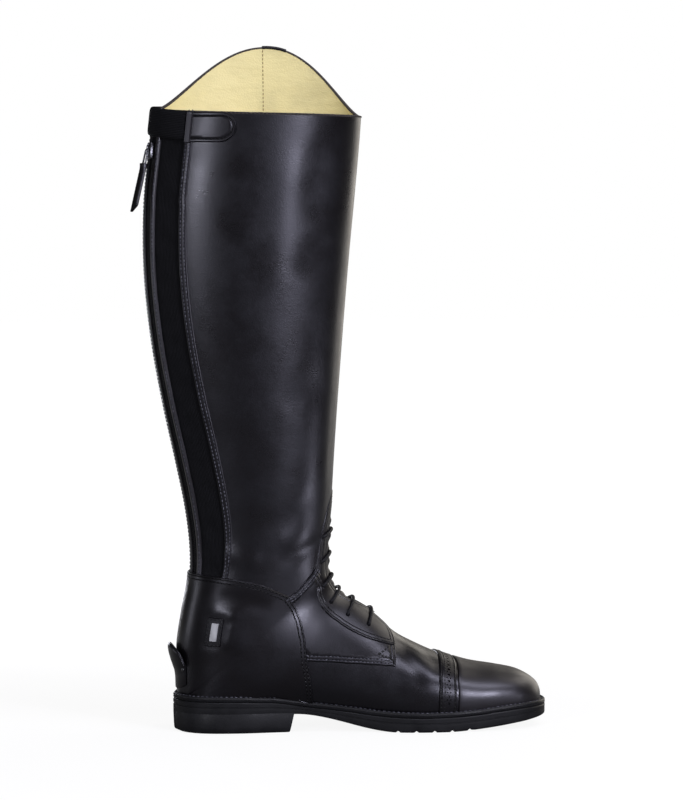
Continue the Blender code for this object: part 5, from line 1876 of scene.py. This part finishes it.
# Zip slider and its pull
CHAIN_PROUD = 0.9 * MM
SLIDER_HEIGHT = 431.0 * MM
SLIDER_SIZE = (8.0 * MM, 12.0 * MM, 3.0 * MM)
SLIDER_GAP = 0.3 * MM
HINGE_PROUD = 0.8 * MM
PULL_LEAN = np.radians(14.0)
LINK_LENGTH = 13.0 * MM
LINK_PAST_HINGE = 0.7 * MM
PULL_LENGTH = 34.0 * MM
PULL_WIDTH = 7.6 * MM
PULL_SLANT = 0.75
PULL_LAP = 2.4 * MM
SLIDER_BEVEL = 1.1 * MM
SLIDER_TAPER = 0.3
BRIDGE_SIZE = (2.3 * MM, 9.0 * MM, 0.65 * MM)
BRIDGE_FLAT = 0.75
BRIDGE_RISE = 1.0 * MM
LINK_SIZE = (2.0 * MM, LINK_LENGTH, 0.7 * MM)
PULL_ROWS = ((0.0, 3.0, 7), (4.0, PULL_LENGTH / MM, 22))
PULL_EDGE = ((0.0, 1.0), (0.3, 1.0), (0.6, 1.0), (0.86, 0.95), (0.96, 0.7), (1.0, 0.25))
PULL_THICK = 1.15 * MM
PULL_NECK = 0.82
PULL_NECK_LENGTH = 8.0 * MM
PULL_FOLD = 1.1 * MM
PULL_FOLD_LENGTH = 3.2 * MM
PULL_FOLD_TOP = 0.5 * MM
PULL_SLANT_FROM = 0.55 * PULL_LENGTH
PULL_STITCH = np.array([0.3, 0.3, 0.95]) * MM
PULL_STITCH_FROM = 6.0 * MM
PULL_STITCH_SHORT = 3.0 * MM
PULL_STITCH_PITCH = 2.6 * MM
PULL_STITCH_ASIDE = 0.36 * PULL_WIDTH


def moved_to(made, origin, right, up, out):
    """Turn a mesh that was modelled lying at the origin to its own place on the boot."""
    points = np.empty(3 * len(made.data.vertices), np.float32)
    made.data.vertices.foreach_get("co", points)
    placed = origin + points.reshape(-1, 3) @ np.array([right, up, out])
    made.data.vertices.foreach_set("co", placed.astype(np.float32).ravel())
    made.data.update()
    face_out(made)


def long_ring(name, half, length, wire):
    """A torus primitive drawn out to a long link."""
    made = added(
        name, bpy.ops.mesh.primitive_torus_add,
        major_radius=half, minor_radius=wire, major_segments=32, minor_segments=10,
    )
    for vertex in made.data.vertices:
        vertex.co.y += np.copysign(0.5 * length - half, vertex.co.y)
    return made


def build_slider(at, axis, along, out):
    """The metal slider, narrower at its foot, with a bridge over it for the link."""
    slider = added("zip_slider", bpy.ops.mesh.primitive_cube_add, size=1.0)
    slider.scale = SLIDER_SIZE
    bpy.ops.object.transform_apply(location=False, rotation=False, scale=True)
    applied(slider, "BEVEL", width=SLIDER_BEVEL, segments=3, limit_method="NONE")
    for vertex in slider.data.vertices:
        vertex.co.x *= 1.0 - SLIDER_TAPER * held(-2.0 * vertex.co.y / SLIDER_SIZE[1])
    bridge = long_ring("zip_bridge", *BRIDGE_SIZE)
    for vertex in bridge.data.vertices:
        vertex.co = (vertex.co.z, vertex.co.y, vertex.co.x * BRIDGE_FLAT + BRIDGE_RISE)
    select_only(slider)
    bridge.select_set(True)
    bpy.ops.object.join()
    moved_to(slider, at, axis, along, out)
    done(slider, bright_metal(), stands_for=("zip_slider",), angle=50.0)


def build_zip_pull():
    """The slider, on the boot, and the link and leather tab, which swing on it in the real boot, on a body of
    their own.
    """
    v, u = back_places([(ZIP_MIDDLE, SLIDER_HEIGHT)])[0]
    foot, out = surface(v, u), normals(v, u)
    level = unit(out * (1.0 - UP))
    axis = np.cross(level, UP)
    base = CHAIN_PROUD + SLIDER_GAP
    build_slider(foot + out * (base + 0.5 * SLIDER_SIZE[2]), axis, np.cross(out, axis), out)
    hinge = foot + out * (base + SLIDER_SIZE[2] + SLIDER_GAP + HINGE_PROUD)
    down = level * np.sin(PULL_LEAN) - UP * np.cos(PULL_LEAN)
    face = np.cross(axis, down)
    link = long_ring("zip_pull_link", *LINK_SIZE)
    moved_to(link, hinge + down * (0.5 * LINK_LENGTH - LINK_PAST_HINGE), axis, down, face)
    done(link, bright_metal(), "zip_pull", ("zip_pull_link",), 60.0)
    top = hinge + down * (LINK_LENGTH - LINK_PAST_HINGE - PULL_LAP)
    build_pull_tab(top, axis, down, face)
    build_pull_stitches(top, axis, down, face)


def build_pull_tab(top, axis, down, face):
    """The doubled leather strip on the link: folded at the top and cut on a slant at the bottom."""
    length = stretches(*PULL_ROWS) * MM
    across, edge = np.array([(-a, e) for a, e in PULL_EDGE[:0:-1]] + list(PULL_EDGE)).T
    neck = held(length / PULL_NECK_LENGTH)
    half = 0.5 * PULL_WIDTH * (PULL_NECK + (1.0 - PULL_NECK) * neck)
    fold = PULL_THICK + PULL_FOLD * np.exp(-((length / PULL_FOLD_LENGTH) ** 2))
    fold[0] = PULL_FOLD_TOP
    x = half[:, None] * across
    slant = held((length - PULL_SLANT_FROM) / (PULL_LENGTH - PULL_SLANT_FROM))
    y = length[:, None] + PULL_SLANT * slant[:, None] * x
    z = fold[:, None] * edge
    front, back = np.stack([x, y, z], axis=-1), np.stack([x, y, -z], axis=-1)
    made = laid_grid("zip_pull_tab", np.concatenate([front, back[:, ::-1], front[:, :1]], axis=1))
    weld(made)
    close_ends(made, bpy.ops.mesh.fill)
    moved_to(made, top, axis, down, face)
    done(made, panel_leather(), body="zip_pull", stands_for=("zip_pull_tab",), angle=50.0)


def build_pull_stitches(top, axis, down, face):
    """A row of stitches along each edge of the pull tab, on both of its faces."""
    steps = np.arange(PULL_STITCH_FROM, PULL_LENGTH - PULL_STITCH_SHORT, PULL_STITCH_PITCH)
    middles = np.array([
        top + aside * PULL_STITCH_ASIDE * axis + step * down + sign * PULL_THICK * face
        for aside in (-1.0, 1.0) for step in steps for sign in (-1.0, 1.0)
    ])
    turns = np.repeat([np.stack([axis, face, down], axis=1)], len(middles), axis=0)
    done(balls("zip_pull_stitches", PULL_STITCH, middles, turns), black_thread(), body="zip_pull")


# Studio: the camera stands where the photo was taken from
CAMERA_AT = (-0.35435, -3.1617, 0.46486)
CAMERA_AIM = (0.090, 0.0, 0.2448)
CAMERA_LENS = 192.8
BACKDROP = 1.0
ROOM_LIGHT = 0.03
NEAR_GLOW = 0.90
FAR_GLOW = 1.0
NEAR_REACH = (0.25, 0.9)
FLOOR_SIZE = 12.0
FLOOR_CAST = (0.03, 0.3)
FLOOR_TURN = (-0.1, 0.5)
FLOOR_FADE = (2.0, 4.5)
COOL = (0.90, 0.91, 1.0)
LILAC = (0.86, 0.86, 1.0)
WARM = (1.0, 0.94, 0.84)
# Each light: name, place, aim, width and height, power, colour
SOFT_LIGHTS = (
    ("left box", (-1.39, -2.06, 0.74), (0.0, 0.0, 0.42), (0.34, 0.36), 20.0, COOL),
    ("right box", (1.30, -2.1, 0.74), (0.05, 0.0, 0.42), (0.24, 0.36), 35.0, LILAC),
    ("top box", (0.20, -0.60, 1.9), (0.12, 0.0, 0.1), (0.8, 0.45), 8.0, LILAC),
    ("side box", (0.99, -0.93, 1.63), (0.15, -0.03, 0.04), (0.6, 0.5), 10.5, LILAC),
    ("side panel", (1.5, 0.5, 1.44), (0.12, 0.0, 0.06), (1.2, 0.8), 7.0, WARM),
    ("far panel", (1.65, 1.65, 0.75), (0.10, 0.0, 0.25), (1.5, 1.5), 11.0, WARM),
    ("low panel", (0.55, 2.2, 0.8), (0.15, 0.0, 0.1), (1.2, 1.4), 1.5, WARM),
    ("lateral box", (-0.30, 1.30, 0.22), (0.0, 0.0, 0.30), (0.25, 0.36), 2.2, COOL),
    ("heel box", (-1.30, 0.30, 0.22), (0.0, 0.0, 0.30), (0.25, 0.36), 1.2, COOL),
    ("front box", (0.90, 0.36, 0.16), (0.10, 0.0, 0.30), (0.2, 0.26), 0.2, WARM),
    ("floor strip", (0.61, -0.27, 0.03), (0.55, -0.245, 1.0), (0.12, 0.5), 1.2, LILAC),
)


def aimed(made, aim):
    """Turn an object so that it looks at a point."""
    made.rotation_euler = (Vector(aim) - made.location).to_track_quat("-Z", "Y").to_euler()


def soft_light(name, place, aim, size, power, colour):
    made = added(name, bpy.ops.object.light_add, type="AREA", location=place)
    made.data.shape = "RECTANGLE"
    made.data.size, made.data.size_y = size
    made.data.energy = power
    made.data.color = colour
    made.visible_camera = False
    aimed(made, aim)


def white_world():
    """White behind the boot, and a much darker room for the light that falls on it."""
    world = bpy.data.worlds.new("studio")
    world.use_nodes = True
    paint = NodeTree(world.node_tree)
    seen = paint.glow("ShaderNodeBackground", BACKDROP)
    cast = paint.glow("ShaderNodeBackground", ROOM_LIGHT)
    paint.feed(paint.tree.nodes["World Output"].inputs["Surface"], paint.seen_and_cast(seen, cast))
    bpy.context.scene.world = world
    bpy.context.scene.view_settings.view_transform = "Standard"


def pale_floor():
    """A pale floor that takes soft shadows and runs into the white behind the boot without an edge."""
    floor = added("floor", bpy.ops.mesh.primitive_plane_add, size=FLOOR_SIZE)
    paint = Paint("floor paint", Roughness=0.9, Specular_IOR_Level=0.1)
    floor.data.materials.append(paint.give(Base_Color=paint.looks.floor_colour))
    plain = Tone(paint, paint.shader.outputs[0])
    away = paint.node("ShaderNodeVectorMath", {"operation": "LENGTH"}, {0: paint.place()}, 1)
    glow = paint.blend(
        paint.between(away, *NEAR_REACH),
        paint.glow("ShaderNodeEmission", NEAR_GLOW), paint.glow("ShaderNodeEmission", FAR_GLOW),
    )
    seen = paint.node("ShaderNodeAddShader", {}, {0: plain, 1: glow})
    turn = paint.between(paint.axis(1), *FLOOR_TURN, *FLOOR_CAST)
    fade = paint.between(away, *FLOOR_FADE, 1.0, 0.0)
    cast = paint.blend(turn * fade, plain, paint.glow("ShaderNodeEmission", 1.0))
    paint.feed(paint.tree.nodes["Material Output"].inputs["Surface"], paint.seen_and_cast(seen, cast))


def build_stage():
    pale_floor()
    white_world()
    for light in SOFT_LIGHTS:
        soft_light(*light)
    camera = added("camera", bpy.ops.object.camera_add, location=CAMERA_AT)
    camera.data.lens = CAMERA_LENS
    camera.data.sensor_width = 36.0
    camera.data.clip_end = 50.0
    aimed(camera, CAMERA_AIM)
    bpy.context.scene.camera = camera


def length_setting(name, about, default):
    return bpy.props.FloatProperty(name=name, description=about, default=default, unit="LENGTH")


def colour_setting(name, about, *default):
    return bpy.props.FloatVectorProperty(
        name=name, description=about, subtype="COLOR", size=4, default=default + (1.0,)
    )


class BootSizes(bpy.types.PropertyGroup):
    """Sizes that a user would change."""

    stitch_length: length_setting("Stitch length", "Length of one stitch", 2.3 * MM)
    stitch_pitch: length_setting("Stitch pitch", "Distance from one stitch to the next", 2.9 * MM)
    stitch_width: length_setting("Stitch width", "Width of the thread", 0.85 * MM)
    lace_radius: length_setting("Lace radius", "Half the thickness of the lace", 1.25 * MM)


class BootFinish(bpy.types.PropertyGroup):
    """Colours and finishes that a user would change."""

    leather_colour: colour_setting("Leather", "Colour of the black leather", 0.0024, 0.0022, 0.0030)
    # The warmer leather colour, mixed in by random wear and by painted warm reflection.
    leather_wear_and_sheen_colour: colour_setting("Worn leather and painted sheen", "Colour of worn leather and of the painted warm sheen", 0.007, 0.0055, 0.0055)
    grain_depth: length_setting("Grain depth", "Depth of the leather's grain", 0.22 * MM)
    lining_colour: colour_setting("Lining", "Colour of the lining leather", 0.82, 0.715, 0.34)
    rubber_colour: colour_setting("Rubber", "Colour of the sole", 0.0048, 0.0048, 0.006)
    elastic_colour: colour_setting("Elastic", "Colour of the elastic", 0.006, 0.006, 0.007)
    cord_colour: colour_setting("Lace", "Colour of the lace", 0.004, 0.004, 0.005)
    thread_colour: colour_setting("Thread", "Colour of the thread", 0.0022, 0.0022, 0.0028)
    metal_colour: colour_setting("Metal", "Colour of the bright metal", 0.13, 0.13, 0.14)
    floor_colour: colour_setting("Floor", "Colour of the floor", 0.11, 0.11, 0.11)


class BOOT_OT_upper(bpy.types.Operator):
    """Lay the upper and its lining"""

    bl_idname = "boot.upper"
    bl_label = "Upper"

    def execute(self, context):
        build_upper()
        return {"FINISHED"}


class BOOT_OT_sole(bpy.types.Operator):
    """Build the outsole, the heel, the insole and the welt"""

    bl_idname = "boot.sole"
    bl_label = "Sole"

    def execute(self, context):
        build_outsole()
        build_heel()
        build_insole()
        build_welt()
        return {"FINISHED"}


class BOOT_OT_toe(bpy.types.Operator):
    """Build the toe cap and its punched band"""

    bl_idname = "boot.toe"
    bl_label = "Toe cap"

    def execute(self, context):
        build_toe_cap()
        return {"FINISHED"}


class BOOT_OT_counter(bpy.types.Operator):
    """Build the heel counter"""

    bl_idname = "boot.counter"
    bl_label = "Counter"

    def execute(self, context):
        build_counter()
        return {"FINISHED"}


class BOOT_OT_quarters(bpy.types.Operator):
    """Build the quarters and the facing"""

    bl_idname = "boot.quarters"
    bl_label = "Quarters"

    def execute(self, context):
        build_quarters()
        build_facings()
        return {"FINISHED"}


class BOOT_OT_lacing(bpy.types.Operator):
    """Build the tongue and the lace"""

    bl_idname = "boot.lacing"
    bl_label = "Lacing"

    def execute(self, context):
        build_tongue()
        build_lace()
        return {"FINISHED"}


class BOOT_OT_zip(bpy.types.Operator):
    """Build the zip and the elastic beside it"""

    bl_idname = "boot.zip"
    bl_label = "Zip"

    def execute(self, context):
        build_zip()
        build_gusset()
        return {"FINISHED"}


class BOOT_OT_collar(bpy.types.Operator):
    """Build the collar band and the snap tab"""

    bl_idname = "boot.collar"
    bl_label = "Collar"

    def execute(self, context):
        build_collar()
        build_snap_tab()
        return {"FINISHED"}


class BOOT_OT_rim(bpy.types.Operator):
    """Build the side strip, the rim's edge and the lining's seam"""

    bl_idname = "boot.rim"
    bl_label = "Rim"

    def execute(self, context):
        build_side_strip()
        build_rim()
        return {"FINISHED"}


class BOOT_OT_spur(bpy.types.Operator):
    """Build the spur rest and the spur patches"""

    bl_idname = "boot.spur"
    bl_label = "Spur rest"

    def execute(self, context):
        build_spur_rest()
        build_rivets()
        build_patches()
        return {"FINISHED"}


class BOOT_OT_pull(bpy.types.Operator):
    """Build the slider, the link and the pull tab"""

    bl_idname = "boot.pull"
    bl_label = "Zip pull"

    def execute(self, context):
        build_zip_pull()
        return {"FINISHED"}


class BOOT_OT_stage(bpy.types.Operator):
    """Set the floor, the lights and the camera"""

    bl_idname = "boot.stage"
    bl_label = "Studio"

    def execute(self, context):
        build_stage()
        return {"FINISHED"}


OPERATORS = (
    BOOT_OT_upper, BOOT_OT_sole, BOOT_OT_toe, BOOT_OT_counter,
    BOOT_OT_quarters, BOOT_OT_lacing, BOOT_OT_zip, BOOT_OT_collar,
    BOOT_OT_rim, BOOT_OT_spur, BOOT_OT_pull, BOOT_OT_stage,
)


class BOOT_PT_looks(bpy.types.Panel):
    """The boot's operators and settings in the sidebar."""

    bl_idname = "BOOT_PT_looks"
    bl_label = "Field boot"
    bl_space_type = "VIEW_3D"
    bl_region_type = "UI"
    bl_category = "Boot"

    def draw(self, context):
        for made in OPERATORS:
            self.layout.operator(made.bl_idname)
        for group in (context.scene.boot_sizes, context.scene.boot_finish):
            for name in group.bl_rna.properties.keys():
                if name not in ("rna_type", "name"):
                    self.layout.prop(group, name)


CLASSES = (BootSizes, BootFinish) + OPERATORS + (BOOT_PT_looks,)


def register():
    for made in CLASSES:
        bpy.utils.register_class(made)
    bpy.types.Scene.boot_sizes = bpy.props.PointerProperty(type=BootSizes)
    bpy.types.Scene.boot_finish = bpy.props.PointerProperty(type=BootFinish)


def unregister():
    del bpy.types.Scene.boot_finish
    del bpy.types.Scene.boot_sizes
    for made in reversed(CLASSES):
        bpy.utils.unregister_class(made)


def main():
    register()
    for made in OPERATORS:
        getattr(bpy.ops.boot, made.bl_idname.split(".")[1])()


if __name__ == "__main__":
    main()
